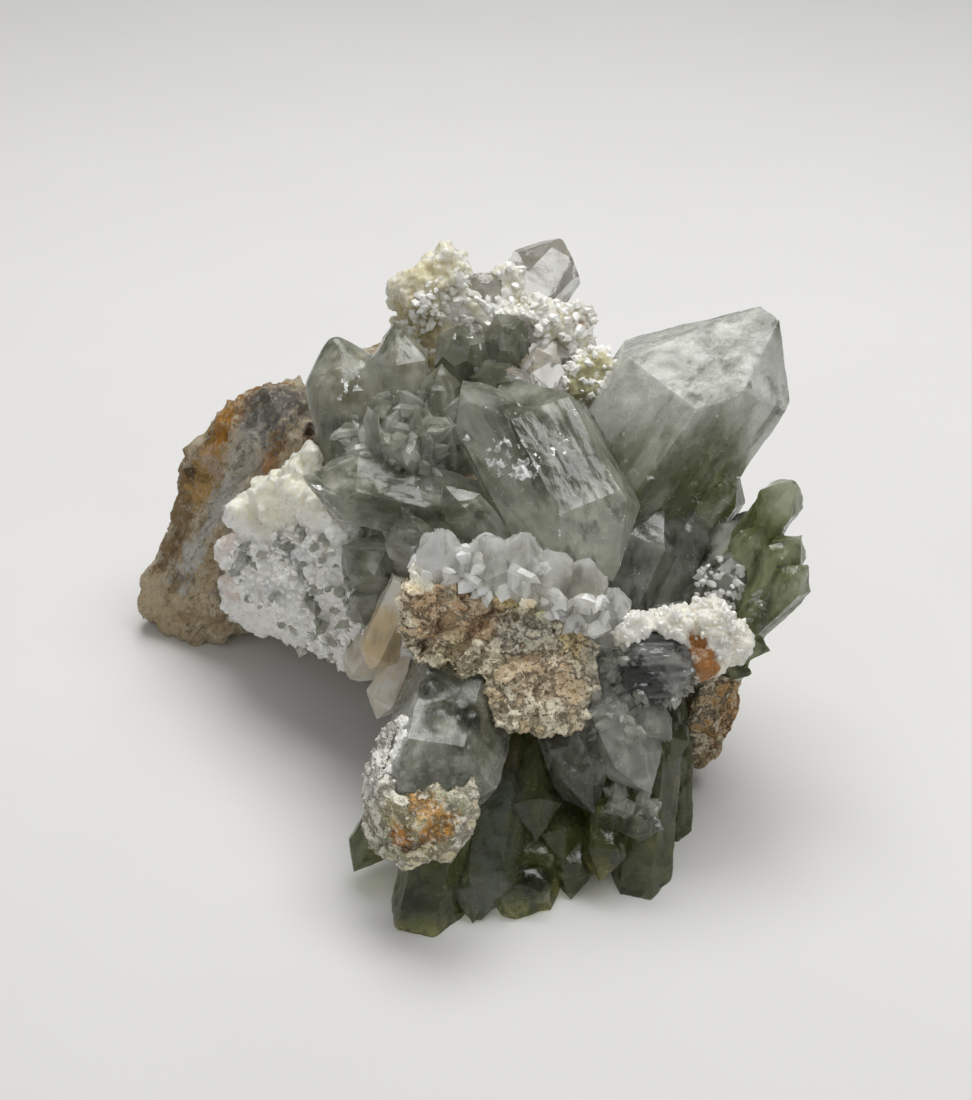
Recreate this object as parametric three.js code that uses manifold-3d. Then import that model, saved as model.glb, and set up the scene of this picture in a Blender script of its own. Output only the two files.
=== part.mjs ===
// Chlorite quartz crystal cluster: a broken plate of matrix rock that arches over the floor, with
// crusts of white quartz and groups of clear, milky and chlorite-green crystals grown on it.
// Millimetres, +Z up, +X to the right and -Y towards the front. The origin is at floor level, in the
// middle under the specimen's outer box.
import * as THREE from 'three';
import { ConvexGeometry } from 'three/addons/geometries/ConvexGeometry.js';
import { TessellateModifier } from 'three/addons/modifiers/TessellateModifier.js';
import { mergeVertices } from 'three/addons/utils/BufferGeometryUtils.js';
import Module from 'manifold-3d';

const wasm = await Module();
wasm.setup();

// Driving dimensions
const GAP = 0.3; // clear space between neighbouring pieces
const PYRAMID_RISE = 1.27; // height of a quartz point over half its width: faces at 38 degrees to the axis
const FACE_JITTER = 0.1; // how unevenly an uneven crystal's prism faces are grown, over half its width
const MINOR_FACE = 0.32; // how far the three small faces of its point stand back at most
const WELD = 1e-4; // points closer than this are one point
const FLOOR_SIZE = 300;
const FLOOR_DEPTH = 40;
const FRONT = new THREE.Vector3(0, -0.75, 0.66); // where a crystal's broad face is turned, if turn is 0
const MIDDLE_X = 0.53; // the middle of the outer box, in the places that the pieces below are given in
const MIDDLE_Y = -0.23;

// Colours of the materials
const COLOUR = {
  clearQuartz: 0xc3c6bd,
  greyQuartz: 0x94968c,
  darkQuartz: 0x4b4d48,
  chloriteQuartz: 0x6e7350,
  milkyQuartz: 0xd2d3cc,
  creamCrust: 0xebe4cd,
  topCrust: 0xdcd2ac,
  brownRock: 0x9a7148,
  tanRock: 0xaf9673,
  flakyRock: 0x7d6240,
  peachQuartz: 0xd9c3a3,
};

// Repeatable random numbers from 0 to 1
function randomSource(seed) {
  let state = seed * 7919 + 13;
  return () => {
    state = Math.imul(state ^ (state >>> 15), 2246822519);
    state = Math.imul(state ^ (state >>> 13), 3266489917);
    state ^= state >>> 16;
    return (state >>> 0) / 4294967296;
  };
}

// A random number from -1 to 1 for each cell of a grid
function cellValue(ix, iy, iz, seed) {
  let h = Math.imul(ix, 374761393) ^ Math.imul(iy, 668265263);
  h ^= Math.imul(iz, 1274126177) ^ Math.imul(seed, 974634777);
  h = Math.imul(h ^ (h >>> 13), 1103515245);
  h ^= h >>> 16;
  return (h >>> 0) / 2147483648 - 1;
}

// Smooth noise from -1 to 1, with one swell for each unit of length
function noise(x, y, z, seed) {
  const ix = Math.floor(x);
  const iy = Math.floor(y);
  const iz = Math.floor(z);
  const ease = (t) => t * t * (3 - 2 * t);
  const u = ease(x - ix);
  const v = ease(y - iy);
  const w = ease(z - iz);
  const mix = THREE.MathUtils.lerp;
  const corner = (dx, dy, dz) => cellValue(ix + dx, iy + dy, iz + dz, seed);
  const row = (dy, dz) => mix(corner(0, dy, dz), corner(1, dy, dz), u);
  return mix(mix(row(0, 0), row(1, 0), v), mix(row(0, 1), row(1, 1), v), w);
}

// A closed geometry as a solid for joining and cutting
function toSolid(geometry) {
  geometry.deleteAttribute('normal');
  geometry.deleteAttribute('uv');
  const merged = mergeVertices(geometry, WELD);
  return new wasm.Manifold(new wasm.Mesh({
    numProp: 3,
    vertProperties: merged.attributes.position.array,
    triVerts: merged.index.array,
  }));
}

function join(solids) {
  return solids.reduce((sum, solid) => sum.add(solid));
}

// The planes of a quartz crystal: a six-sided prism from its root to a six-sided point, with uneven
// faces. width is across its edges as seen from the front, depth from front to back. lean moves the
// point off the axis, uneven is how unequal the faces are, left is how far the point's two left faces
// stand back, blunt cuts the point off, and both gives the root a point too.
function crystalPlanes(crystal) {
  const { from, to, width, depth, turn = 0, both = false } = crystal;
  const { lean = [0, 0], uneven = 0, left = 0, blunt = 0 } = crystal;
  const random = randomSource(crystal.seed);
  const root = new THREE.Vector3(...from);
  const axis = new THREE.Vector3(...to).sub(root);
  const length = axis.length();
  axis.normalize();
  const front = Math.abs(axis.dot(FRONT)) > 0.93 ? new THREE.Vector3(0, 0, 1) : FRONT;
  const outward = front.clone().addScaledVector(axis, -front.dot(axis)).normalize();
  const sideways = new THREE.Vector3().crossVectors(axis, outward);
  const halfDepth = depth / 2;
  const halfWidth = (width / 2) * Math.cos(Math.PI / 6);
  const rise = PYRAMID_RISE * (halfDepth + halfWidth) / 2;
  const planes = [];

  const addPlane = (u, v, w, distance) => {
    const normal = outward.clone().multiplyScalar(u / halfDepth);
    normal.addScaledVector(sideways, v / halfWidth);
    normal.addScaledVector(axis, w);
    const size = normal.length();
    normal.divideScalar(size);
    planes.push({ normal, distance: distance / size + normal.dot(root) });
  };

  for (let i = 0; i < 6; i += 1) {
    const angle = THREE.MathUtils.degToRad(turn + 60 * i);
    const u = Math.cos(angle);
    const v = Math.sin(angle);
    const setBack = (i % 2 === 0 ? 0 : uneven * MINOR_FACE * random()) + (i > 3 ? left : 0);
    addPlane(u, v, 0, 1 + uneven * FACE_JITTER * (random() - 0.5));
    addPlane(u, v, 1 / rise, u * lean[0] + v * lean[1] + length / rise + setBack);
    if (both) {
      addPlane(u, v, -1 / rise, setBack);
    }
  }
  if (blunt > 0) {
    addPlane(0, 0, 1, length - blunt);
  }
  if (!both) {
    addPlane(0, 0, -1, 0);
  }
  return planes;
}

// The convex solid inside a set of planes, each moved outwards by grow
function solidFromPlanes(planes, grow) {
  const corners = [];
  const cross = (a, b) => new THREE.Vector3().crossVectors(a, b);
  for (let i = 0; i < planes.length; i += 1) {
    for (let j = i + 1; j < planes.length; j += 1) {
      for (let k = j + 1; k < planes.length; k += 1) {
        const [a, b, c] = [planes[i], planes[j], planes[k]];
        const det = a.normal.dot(cross(b.normal, c.normal));
        if (Math.abs(det) < 1e-6) {
          continue;
        }
        const corner = cross(b.normal, c.normal).multiplyScalar(a.distance + grow);
        corner.addScaledVector(cross(c.normal, a.normal), b.distance + grow);
        corner.addScaledVector(cross(a.normal, b.normal), c.distance + grow);
        corner.divideScalar(det);
        const inside = planes.every((plane) => plane.normal.dot(corner) <= plane.distance + grow + WELD);
        if (inside && !corners.some((other) => other.distanceTo(corner) < 10 * WELD)) {
          corners.push(corner);
        }
      }
    }
  }
  return toSolid(new ConvexGeometry(corners));
}

// The hull of a list of corners, moved outwards by grow from its middle
function hull(corners, grow = 0) {
  const points = corners.map((corner) => new THREE.Vector3(...corner));
  const middle = points.reduce((sum, point) => sum.add(point), new THREE.Vector3()).divideScalar(points.length);
  points.forEach((point) => {
    const away = point.clone().sub(middle);
    point.addScaledVector(away.normalize(), grow * 1.6);
  });
  return new ConvexGeometry(points);
}

// Crystals grown together on a common root of massive quartz
function cluster(crystals, base) {
  return (grow) => {
    const solids = crystals.map((crystal) => solidFromPlanes(crystalPlanes(crystal), grow));
    if (base) {
      solids.push(toSolid(hull(base, grow)));
    }
    return join(solids);
  };
}

// Moves a closed mesh's points in and out along their normals: swells of the given size, and ledges
// of the given thickness where the rock splits along its bedding
function roughen(geometry, { swell = 6, rough = 0.8, ledge = 0, bedding = [0, 0, 1], seed = 1, grow = 0 }) {
  geometry.deleteAttribute('normal');
  geometry.deleteAttribute('uv');
  const merged = mergeVertices(geometry, WELD);
  merged.computeVertexNormals();
  const position = merged.attributes.position;
  const normal = merged.attributes.normal;
  const layers = new THREE.Vector3(...bedding).normalize();
  for (let i = 0; i < position.count; i += 1) {
    const point = new THREE.Vector3().fromBufferAttribute(position, i);
    const out = new THREE.Vector3().fromBufferAttribute(normal, i);
    const [x, y, z] = point.clone().divideScalar(swell).toArray();
    let move = rough * (noise(x, y, z, seed) + 0.5 * noise(2.3 * x, 2.3 * y, 2.3 * z, seed + 5));
    if (ledge > 0) {
      const layer = (point.dot(layers) + 0.6 * noise(x, y, z, seed + 9)) / ledge;
      move += rough * (layer - Math.floor(layer) - 0.5);
    }
    point.addScaledVector(out, move + grow);
    position.setXYZ(i, point.x, point.y, point.z);
  }
  return merged;
}

// A broken piece of rock: the hull of its corners, with rough faces
function rock(corners, edge, finish) {
  const fine = new TessellateModifier(edge, 12).modify(hull(corners));
  return toSolid(roughen(fine, finish));
}

// A rounded lump of crust
function lump([x, y, z], radius, seed, grow) {
  const ball = new THREE.DodecahedronGeometry(radius, 0);
  const rough = radius * 0.22;
  const uneven = roughen(ball, { swell: radius, rough, seed, grow });
  uneven.translate(x, y, z);
  return toSolid(uneven);
}

// Small quartz points in rows over a crust: each row runs from its first to its last place, and its
// points lean outwards
function smallPoints(rows, grow) {
  const solids = [];
  rows.forEach(({ first, last, count, out, size, seed }) => {
    const random = randomSource(seed);
    const start = new THREE.Vector3(...first);
    const end = new THREE.Vector3(...last);
    for (let i = 0; i < count; i += 1) {
      const place = start.clone().lerp(end, (i + 0.3 + 0.4 * random()) / count);
      const way = new THREE.Vector3(...out).normalize();
      const tilt = new THREE.Vector3(random() - 0.5, random() - 0.5, random() - 0.5);
      way.addScaledVector(tilt, 0.9).normalize();
      const width = size * (0.7 + 0.6 * random());
      const from = place.clone().addScaledVector(way, -width);
      const to = place.clone().addScaledVector(way, width * (0.7 + 0.5 * random()));
      const turn = 60 * random();
      const point = { from: from.toArray(), to: to.toArray(), width, depth: width, turn, seed: seed + i };
      solids.push(solidFromPlanes(crystalPlanes(point), grow));
    }
  });
  return solids;
}

// The large doubly ended crystal in the middle, lying with its lower end to the front, and the one
// grown along its left side
const centreCrystal = cluster([
  {
    from: [22.2, -12, 33.8], to: [8.4, 11.5, 50.6], width: 17, depth: 13.5, turn: 12, both: true,
    uneven: 1, seed: 11,
  },
  { from: [14, -6, 36.5], to: [2.9, 7.5, 52.6], width: 10, depth: 10, turn: 34, uneven: 1, seed: 14 },
]);

// The biggest point, with its tip to the upper right, and a small green crystal at its lower edge
const largeRightCrystal = cluster([
  {
    from: [16.1, 6.2, 20], to: [41.1, 14.6, 60.6], width: 25, depth: 19, turn: -20,
    lean: [0.05, 0.4], left: 0.26, seed: 21,
  },
  { from: [31, 3, 26], to: [39.4, 4.5, 41.5], width: 7.5, depth: 7, turn: 18, seed: 24 },
]);

const topCrystals = cluster([
  { from: [9.5, 31, 49], to: [16.8, 28, 63.8], width: 10.5, depth: 9, turn: 22, blunt: 1.6, uneven: 1, seed: 31 },
  { from: [4, 29, 46], to: [6, 23, 61], width: 8.5, depth: 8, turn: 10, blunt: 1.2, seed: 32 },
  { from: [7, 27, 44], to: [1.5, 11, 55.5], width: 8.5, depth: 8, turn: 30, blunt: 2.2, seed: 33 },
  { from: [11, 28, 46], to: [8.6, 11, 57], width: 7.5, depth: 7, turn: 0, blunt: 1.8, seed: 34 },
  { from: [10, 24, 42], to: [6.5, 8.5, 52.5], width: 10, depth: 7, turn: 0, blunt: 2.4, seed: 35 },
  { from: [14, 24, 44], to: [15.5, 14, 52.5], width: 6, depth: 6, turn: 15, blunt: 0.8, seed: 36 },
], [
  [0, 22, 38], [22, 20, 38], [24, 34, 38], [2, 36, 38],
  [2, 20, 50], [20, 20, 49], [20, 32, 52], [4, 33, 53],
]);

const leftLyingCrystals = cluster([
  { from: [10, 3, 33], to: [-17.6, -1.5, 43.2], width: 10.8, depth: 9.5, turn: 20, uneven: 1, seed: 41 },
  { from: [-1, -1, 22], to: [-5, -4.5, 40.5], width: 7.5, depth: 7, turn: 25, seed: 42 },
  { from: [6, -3, 28], to: [1.6, -4.5, 42.5], width: 6.5, depth: 6.5, turn: 8, seed: 43 },
  { from: [-3, 0, 23], to: [-13, -3.5, 34], width: 8, depth: 7, turn: 12, seed: 44 },
  { from: [11, -9, 31], to: [0.5, -4, 43.5], width: 6.5, depth: 6, turn: 28, seed: 45 },
  { from: [-6, 1, 20], to: [-11.5, -6.5, 27.5], width: 6, depth: 6, turn: 5, seed: 46 },
], [
  [-14, 4, 22], [6, 4, 22], [8, -6, 26], [-6, -5, 22],
  [-10, 8, 35], [6, 6, 36], [2, -4, 33], [-8, -1, 33],
]);

const backLeftCrystals = cluster([
  { from: [-10.5, 12.5, 38], to: [-14.8, 16.5, 56], width: 12.4, depth: 11, turn: 16, blunt: 1.2, seed: 51 },
  { from: [-5, 10.5, 38], to: [-5.9, 14.5, 57.8], width: 8.5, depth: 8, turn: 25, seed: 52 },
  { from: [-1, 8, 41], to: [0.2, 9.8, 54], width: 5.2, depth: 5, turn: 10, seed: 53 },
  { from: [-2, 5, 40], to: [-2.8, 4.5, 50.5], width: 5.5, depth: 5, turn: 40, seed: 54 },
  { from: [-1, 4, 37], to: [-8, 1.5, 48], width: 6, depth: 6, turn: 15, seed: 55 },
  { from: [-6, 8, 38], to: [-11.5, 5, 47], width: 5, depth: 5, turn: 0, seed: 56 },
  { from: [2, 6, 40], to: [1.5, 4.5, 49], width: 5.5, depth: 5, turn: 30, seed: 57 },
], [
  [-17, 18, 34], [3, 17, 34], [3, 4, 36], [-10, 5, 34],
  [-14, 14, 44], [2, 13, 45], [1, 5, 42], [-9, 7, 42],
]);

const darkMiddleCrystals = cluster([
  { from: [21, -9, 22], to: [29.5, 0.5, 37.5], width: 10, depth: 8, turn: 0, seed: 61 },
  { from: [27, -6, 22], to: [34.5, 2.5, 37], width: 8, depth: 7, turn: 20, seed: 62 },
  { from: [31, -6, 22], to: [40.8, 2, 36], width: 6.5, depth: 6, turn: 10, seed: 63 },
  { from: [33, -9, 23], to: [39.4, -5.5, 34.8], width: 6, depth: 6, turn: 0, seed: 64 },
], [
  [20, -11, 20], [38, -10, 20], [38, 3, 20], [22, 4, 20],
  [22, -9, 27], [36, -8, 27], [35, 1, 28], [24, 2, 28],
]);

const rightFingerCrystals = cluster([
  { from: [37, 0, 24], to: [45.6, -5, 44.6], width: 6.2, depth: 6, turn: 20, blunt: 0.6, seed: 71 },
  { from: [36, -3, 24], to: [41.8, -6.5, 39], width: 4.6, depth: 4.6, turn: 5, seed: 72 },
  { from: [38, -6, 22], to: [46.4, -9, 39], width: 5.8, depth: 5.5, turn: 30, seed: 73 },
  { from: [37, -8, 19], to: [46.8, -12.5, 36.6], width: 5.2, depth: 5, turn: 10, seed: 74 },
  { from: [34, -5, 22], to: [43.2, -12, 23], width: 5.4, depth: 5, turn: 15, seed: 75 },
  { from: [33, -6, 19], to: [40.6, -13.5, 20.5], width: 4.6, depth: 4.4, turn: 0, seed: 76 },
], [
  [32, -8, 16], [41, -8, 17], [41, 2, 18], [33, 3, 17],
  [36, -8, 28], [42, -7, 27], [41, 1, 28], [35, 1, 26],
]);

const windowCrystal = cluster([
  { from: [27, -8, 22], to: [27.2, -27, 28.5], width: 11.5, depth: 9, turn: 0, blunt: 4.2, seed: 81 },
]);

const cappedFrontCrystal = cluster([
  { from: [4, -12, 22.6], to: [-1.6, -40.4, 16.2], width: 15.6, depth: 13, turn: 8, blunt: 3.6, uneven: 1, seed: 91 },
]);

const frontFootCrystals = cluster([
  { from: [-3.5, -24, 12.5], to: [-10.9, -31.5, 2.2], width: 6, depth: 5.5, turn: 20, seed: 101 },
  { from: [2, -26.6, 14], to: [-2.9, -40.2, -6.4], width: 9.6, depth: 8.5, turn: 12, seed: 102 },
  { from: [5, -23, 10], to: [4.3, -39, 0.2], width: 6.4, depth: 6, turn: 30, seed: 103 },
  { from: [9.5, -16, 19], to: [5.4, -38.6, 0.4], width: 8.2, depth: 7.5, turn: 6, seed: 104 },
  { from: [11, -16, 17], to: [12.4, -32, 7.6], width: 7.5, depth: 7, turn: 20, seed: 105 },
  { from: [17, -17, 8], to: [8.4, -39, 0.2], width: 9.5, depth: 5.5, turn: 0, blunt: 1.2, seed: 106 },
  { from: [14, -16, 13], to: [15.8, -32.4, 4], width: 7, depth: 5.5, turn: 15, blunt: 0.6, seed: 107 },
  { from: [17.5, -16, 10], to: [16.8, -34.5, 0.2], width: 6.2, depth: 6, turn: 8, seed: 108 },
], [
  [-3, -27, 9], [18, -25, 6], [20, -12, 8], [4, -12, 8],
  [0, -24, 14], [16, -22, 17], [19, -12, 19], [6, -12, 20],
]);

const rightFootCrystals = cluster([
  { from: [22.5, -18, 13], to: [20.4, -35.5, 4], width: 5.8, depth: 5.5, turn: 12, seed: 111 },
  { from: [20.5, -27, 9], to: [28.2, -33, 10.4], width: 5.2, depth: 4.6, turn: 25, seed: 112 },
  { from: [27.4, -20, 13], to: [25.2, -34, -6], width: 8, depth: 7, turn: 10, seed: 113 },
  { from: [30.5, -11, 14], to: [30.6, -22, -4], width: 6, depth: 5.5, turn: 20, seed: 114 },
  { from: [25.5, -17, 13.5], to: [23, -30, 6.5], width: 5.6, depth: 5, turn: 0, seed: 115 },
  { from: [29, -12, 21], to: [29.2, -23.5, 12], width: 6.5, depth: 6, turn: 18, seed: 116 },
], [
  [21, -22, 8], [32, -18, 8], [33, -8, 9], [22, -8, 9],
  [22, -21, 15], [31, -18, 18], [32, -8, 20], [23, -8, 20],
]);

const midPaleCrystals = cluster([
  { from: [19, -16, 24], to: [26.8, -30, 13.4], width: 8, depth: 7, turn: 14, seed: 121 },
  { from: [21, -16, 21], to: [29.4, -26.5, 19.4], width: 5.4, depth: 5, turn: 30, seed: 122 },
  { from: [13, -16, 20.5], to: [19.6, -30, 10.6], width: 8.4, depth: 7, turn: 4, seed: 123 },
  { from: [6, -15, 21.5], to: [9.5, -28, 17.5], width: 6, depth: 5.5, turn: 20, seed: 124 },
  { from: [2, -16, 24], to: [4.4, -27.6, 22.6], width: 4.6, depth: 4.6, turn: 0, blunt: 0.7, seed: 125 },
  { from: [-1, -12, 25], to: [-2.2, -25.5, 25.2], width: 4.4, depth: 4.4, turn: 10, blunt: 0.7, seed: 126 },
], [
  [-2, -20, 20], [24, -20, 16], [24, -13, 18], [0, -13, 20],
  [-2, -18, 26], [24, -18, 25], [24, -12, 26], [0, -11, 27],
]);

const paleFrontPoints = cluster([
  { from: [0.4, -11, 28], to: [0.4, -15.6, 43.6], width: 6.2, depth: 6, turn: 14, seed: 131 },
  { from: [6.6, -12, 28], to: [5.8, -17.4, 43.8], width: 6.8, depth: 6.5, turn: 25, seed: 132 },
  { from: [10.8, -13, 30], to: [10.9, -17.4, 44.2], width: 5.8, depth: 6, turn: 0, seed: 133 },
  { from: [14.4, -14, 28], to: [13.6, -17.4, 42.4], width: 6.2, depth: 6, turn: 30, seed: 134 },
  { from: [17.8, -14, 26], to: [18.6, -17.2, 40], width: 6, depth: 6, turn: 10, seed: 135 },
  { from: [20.8, -14, 24], to: [22.3, -17.2, 36.4], width: 5.2, depth: 5.4, turn: 20, seed: 136 },
], [
  [-5, -15, 24], [23, -16, 22], [23, -10, 22], [-4, -8, 24],
  [-4, -14, 33], [22, -15, 31], [21, -11, 31], [-3, -8, 33],
]);

const pendantPoints = cluster([
  { from: [-4, -6, 30], to: [-9.6, -9.5, 17.6], width: 5.8, depth: 5.4, turn: 10, blunt: 0.8, seed: 141 },
  { from: [-3, -3, 27], to: [-12.8, -3.2, 11.8], width: 6, depth: 5.8, turn: 24, blunt: 1, seed: 142 },
  { from: [-2.6, -4, 22], to: [-8.8, -9.2, 9.8], width: 5.4, depth: 4.8, turn: 0, seed: 143 },
]);

function leftWhiteCrust(grow) {
  const plate = [
    [-17.7, 10, 42.2], [-25, 13, 33], [-28.4, 14, 28], [-31.8, 16, 19.3], [-33.4, 19, 10.8], [-32, 22, 4.8],
    [-21, 14, 8.8], [-15.4, 7, 10.4], [-12.4, 0.4, 12.4], [-9.6, -5, 13], [-7, -7, 18], [-8, -7, 24],
    [-14, -0.5, 30.5], [-17.4, 4, 36], [-16, 14.5, 39], [-26, 21, 16], [-18, 14, 12], [-6, -1, 18], [-11, 8, 33],
  ];
  const lumps = [
    [[-27, 14, 28], 3.8], [[-23.5, 12, 32], 4], [[-19.6, 8.6, 36], 3.4], [[-24.5, 12.4, 25.6], 3.6],
    [[-30, 17, 20], 3.2], [[-31, 20, 11], 3],
  ];
  const rows = [
    { first: [-28, 14.5, 16], last: [-12, -1, 18], count: 3, out: [-0.5, -0.8, 0.3], size: 4.4, seed: 151 },
    { first: [-25, 12.5, 21], last: [-14, 0.4, 26], count: 3, out: [-0.5, -0.8, 0.4], size: 4.2, seed: 152 },
    { first: [-26, 15.5, 12], last: [-13, 0, 14], count: 2, out: [-0.5, -0.8, 0.1], size: 3.6, seed: 153 },
  ];
  return join([
    rock(plate, 16, { swell: 5, rough: 0.6, seed: 15, grow }),
    ...lumps.map(([place, radius], i) => lump(place, radius, 160 + i, grow)),
    ...smallPoints(rows, grow),
  ]);
}

function rightWhiteCrust(grow) {
  const plate = [
    [21.9, -18, 30.6], [26.7, -17, 32.2], [33, -15, 32.4], [37, -14, 30.6], [39.6, -15, 25.4], [37.8, -17, 24],
    [31.5, -20.6, 28.6], [22.5, -20, 28.8], [24, -11, 27], [36, -9, 26], [33, -11, 21.6], [30, -18, 24],
  ];
  const lumps = [
    [[24.8, -18.6, 30.4], 2.9], [[29.4, -18.4, 31], 3.2], [[34.4, -16.8, 30.8], 3.6], [[38, -15.2, 26.6], 3.2],
    [[34.4, -18.6, 27], 3], [[33, -18.8, 21], 2.6],
  ];
  return join([
    rock(plate, 12, { swell: 4, rough: 0.4, seed: 17, grow }),
    ...lumps.map(([place, radius], i) => lump(place, radius, 180 + i, grow)),
  ]);
}

function topCrust(grow) {
  const lumps = [
    [[-3, 23, 57.5], 4.4], [[1, 24.4, 60], 4], [[-4.2, 23.5, 52.6], 3.2], [[9.4, 26, 57.4], 3.4],
    [[13, 20.4, 54.6], 3.8], [[17, 20.6, 53.4], 3.6], [[19.2, 20.8, 55], 1.8], [[20.8, 15, 49.4], 3.8],
    [[18.2, 14, 48.4], 2.8],
  ];
  const base = [
    [-5, 21, 45], [22, 15, 42], [24, 26, 42], [-2, 32, 44],
    [-4.6, 22, 57], [19.6, 16, 50], [18, 25, 55], [0, 28, 59], [-1, 22, 60],
  ];
  return join([
    rock(base, 16, { swell: 5, rough: 0.5, seed: 19, grow }),
    ...lumps.map(([place, radius], i) => lump(place, radius, 200 + i, grow)),
  ]);
}

function frontTanRock(grow) {
  const corners = [
    [-5, -15, 35], [-3.2, -13.8, 38.4], [3, -13.8, 39.2], [10.3, -14.8, 37.2], [15.4, -15.2, 34.8], [20.4, -17, 31],
    [20.8, -22.6, 23.4], [17.2, -25.6, 19.4], [13.4, -26.8, 19.8], [10, -27.2, 22], [5, -26.6, 23],
    [-1, -24, 25.4], [-4.6, -20, 28.8], [5, -22.4, 31], [14, -22.8, 28.4],
    [-2, -12, 28], [19, -13, 25], [14, -18, 17], [1, -16, 23],
  ];
  return rock(corners, 6.2, { swell: 4.5, rough: 0.75, seed: 23, grow });
}

function rightFlakyRock(grow) {
  const corners = [
    [38.8, -13, 20.4], [39.2, -12, 12.6], [37, -11.5, 5.6], [34.6, -11.6, 2.4], [33.6, -16, 20], [32.8, -15, 14],
    [33.2, -13, 4.6], [38, -4, 19], [37, -4, 7], [33, -5, 4], [32.6, -6, 19],
  ];
  return rock(corners, 5.2, { swell: 5, rough: 0.8, ledge: 3, bedding: [0.25, 0.1, 1], seed: 29, grow });
}

function crystalRockCap(grow) {
  const corners = [
    [-9.6, -32.4, 15], [-8.4, -30.6, 20], [-5.4, -27.4, 24], [-1.4, -27, 25.4], [2.4, -31, 24.6], [4.8, -35, 21.6],
    [5.4, -38, 16.6], [1.8, -40.2, 11.6], [-4, -40, 9.4], [-8.6, -36.8, 10.6], [-1.6, -41, 18.6], [-6.8, -38.6, 18.6],
    [2.8, -40.2, 17.4], [-3.6, -41.2, 13.4], [-4, -30, 11.6],
  ];
  return rock(corners, 4.2, { swell: 3.6, rough: 0.6, seed: 31, grow });
}

// The rock itself: the slab at the left, the body behind and under the crystals, and the rear foot
function matrixRock(grow) {
  const slab = [
    [-46.6, 27, 3], [-45.4, 32, -2], [-43.6, 24.8, 4.4], [-39.4, 24.8, -2], [-33.6, 27, -2], [-35.6, 38, -2],
    [-24, 39, 5], [-42, 29, 16.4], [-38.4, 29, 25], [-36.4, 29, 30], [-33, 28, 35.6], [-25.4, 24.8, 42.8],
    [-20, 33, 42], [-30, 39, 30], [-39, 38, 16], [-28, 19.6, 12], [-22, 18, 9.6], [-19, 13.6, 38], [-19, 13, 22],
  ];
  const body = [
    [-22, 14, 10.5], [-13, 6, 13.5], [-6, -2, 15.5], [8, -8, 17], [30, -7, 17], [36, 4, 15], [36, 20, 14],
    [30, 36, 10], [8, 41, 8], [-14, 40, 8], [-24, 34, 10], [-20, 15, 41], [-6, 13, 41], [12, 12, 37],
    [30, 14, 32], [26, 32, 39], [4, 37, 46], [-16, 33, 45],
  ];
  const foot = [
    [7, 22, -2], [25, 21, -2], [30, 36, -2], [10, 40, -2], [4, 18, 17], [31, 17, 17], [33, 38, 15], [6, 41, 15],
  ];
  return join([
    rock(slab, 12, { swell: 7, rough: 1, seed: 37, grow }),
    rock(body, 22, { swell: 8, rough: 1.1, seed: 41, grow }),
    rock(foot, 18, { swell: 6, rough: 0.9, seed: 43, grow }),
  ]);
}

// The largest closed body of a solid, without the crumbs that a cut may leave
function largestBody(solid) {
  const { vertProperties, triVerts } = solid.getMesh();
  const parent = Array.from({ length: vertProperties.length / 3 }, (_, i) => i);
  const find = (i) => {
    let top = i;
    while (parent[top] !== top) {
      parent[top] = parent[parent[top]];
      top = parent[top];
    }
    return top;
  };
  for (let t = 0; t < triVerts.length; t += 3) {
    parent[find(triVerts[t])] = find(triVerts[t + 1]);
    parent[find(triVerts[t + 1])] = find(triVerts[t + 2]);
  }
  const faces = new Map();
  for (let t = 0; t < triVerts.length; t += 3) {
    const body = find(triVerts[t]);
    faces.set(body, [...(faces.get(body) ?? []), triVerts[t], triVerts[t + 1], triVerts[t + 2]]);
  }
  const index = [...faces.values()].sort((a, b) => b.length - a.length)[0];
  const geometry = new THREE.BufferGeometry();
  geometry.setAttribute('position', new THREE.BufferAttribute(new Float32Array(vertProperties), 3));
  geometry.setIndex(index);
  return geometry;
}

// Each piece keeps clear of those before it: harder, more visible pieces come first, and the rock
// that carries them is cut last
const PIECES = [
  ['centre_crystal', centreCrystal, COLOUR.greyQuartz, 0.1],
  ['large_right_crystal', largeRightCrystal, COLOUR.milkyQuartz, 0.1],
  ['top_crystals', topCrystals, COLOUR.clearQuartz, 0.1],
  ['left_lying_crystals', leftLyingCrystals, COLOUR.greyQuartz, 0.1],
  ['back_left_crystals', backLeftCrystals, COLOUR.greyQuartz, 0.15],
  ['dark_middle_crystals', darkMiddleCrystals, COLOUR.darkQuartz, 0.1],
  ['right_finger_crystals', rightFingerCrystals, COLOUR.chloriteQuartz, 0.15],
  ['window_crystal', windowCrystal, COLOUR.darkQuartz, 0.1],
  ['capped_front_crystal', cappedFrontCrystal, COLOUR.clearQuartz, 0.1],
  ['front_foot_crystals', frontFootCrystals, COLOUR.chloriteQuartz, 0.12],
  ['right_foot_crystals', rightFootCrystals, COLOUR.chloriteQuartz, 0.12],
  ['mid_pale_crystals', midPaleCrystals, COLOUR.milkyQuartz, 0.15],
  ['pale_front_points', paleFrontPoints, COLOUR.milkyQuartz, 0.2],
  ['pendant_points', pendantPoints, COLOUR.peachQuartz, 0.25],
  ['left_white_crust', leftWhiteCrust, COLOUR.creamCrust, 0.7],
  ['right_white_crust', rightWhiteCrust, COLOUR.creamCrust, 0.7],
  ['top_crust', topCrust, COLOUR.topCrust, 0.6],
  ['front_tan_rock', frontTanRock, COLOUR.tanRock, 0.9],
  ['right_flaky_rock', rightFlakyRock, COLOUR.flakyRock, 0.9],
  ['crystal_rock_cap', crystalRockCap, COLOUR.tanRock, 0.9],
  ['matrix_rock', matrixRock, COLOUR.brownRock, 0.9],
];

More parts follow.
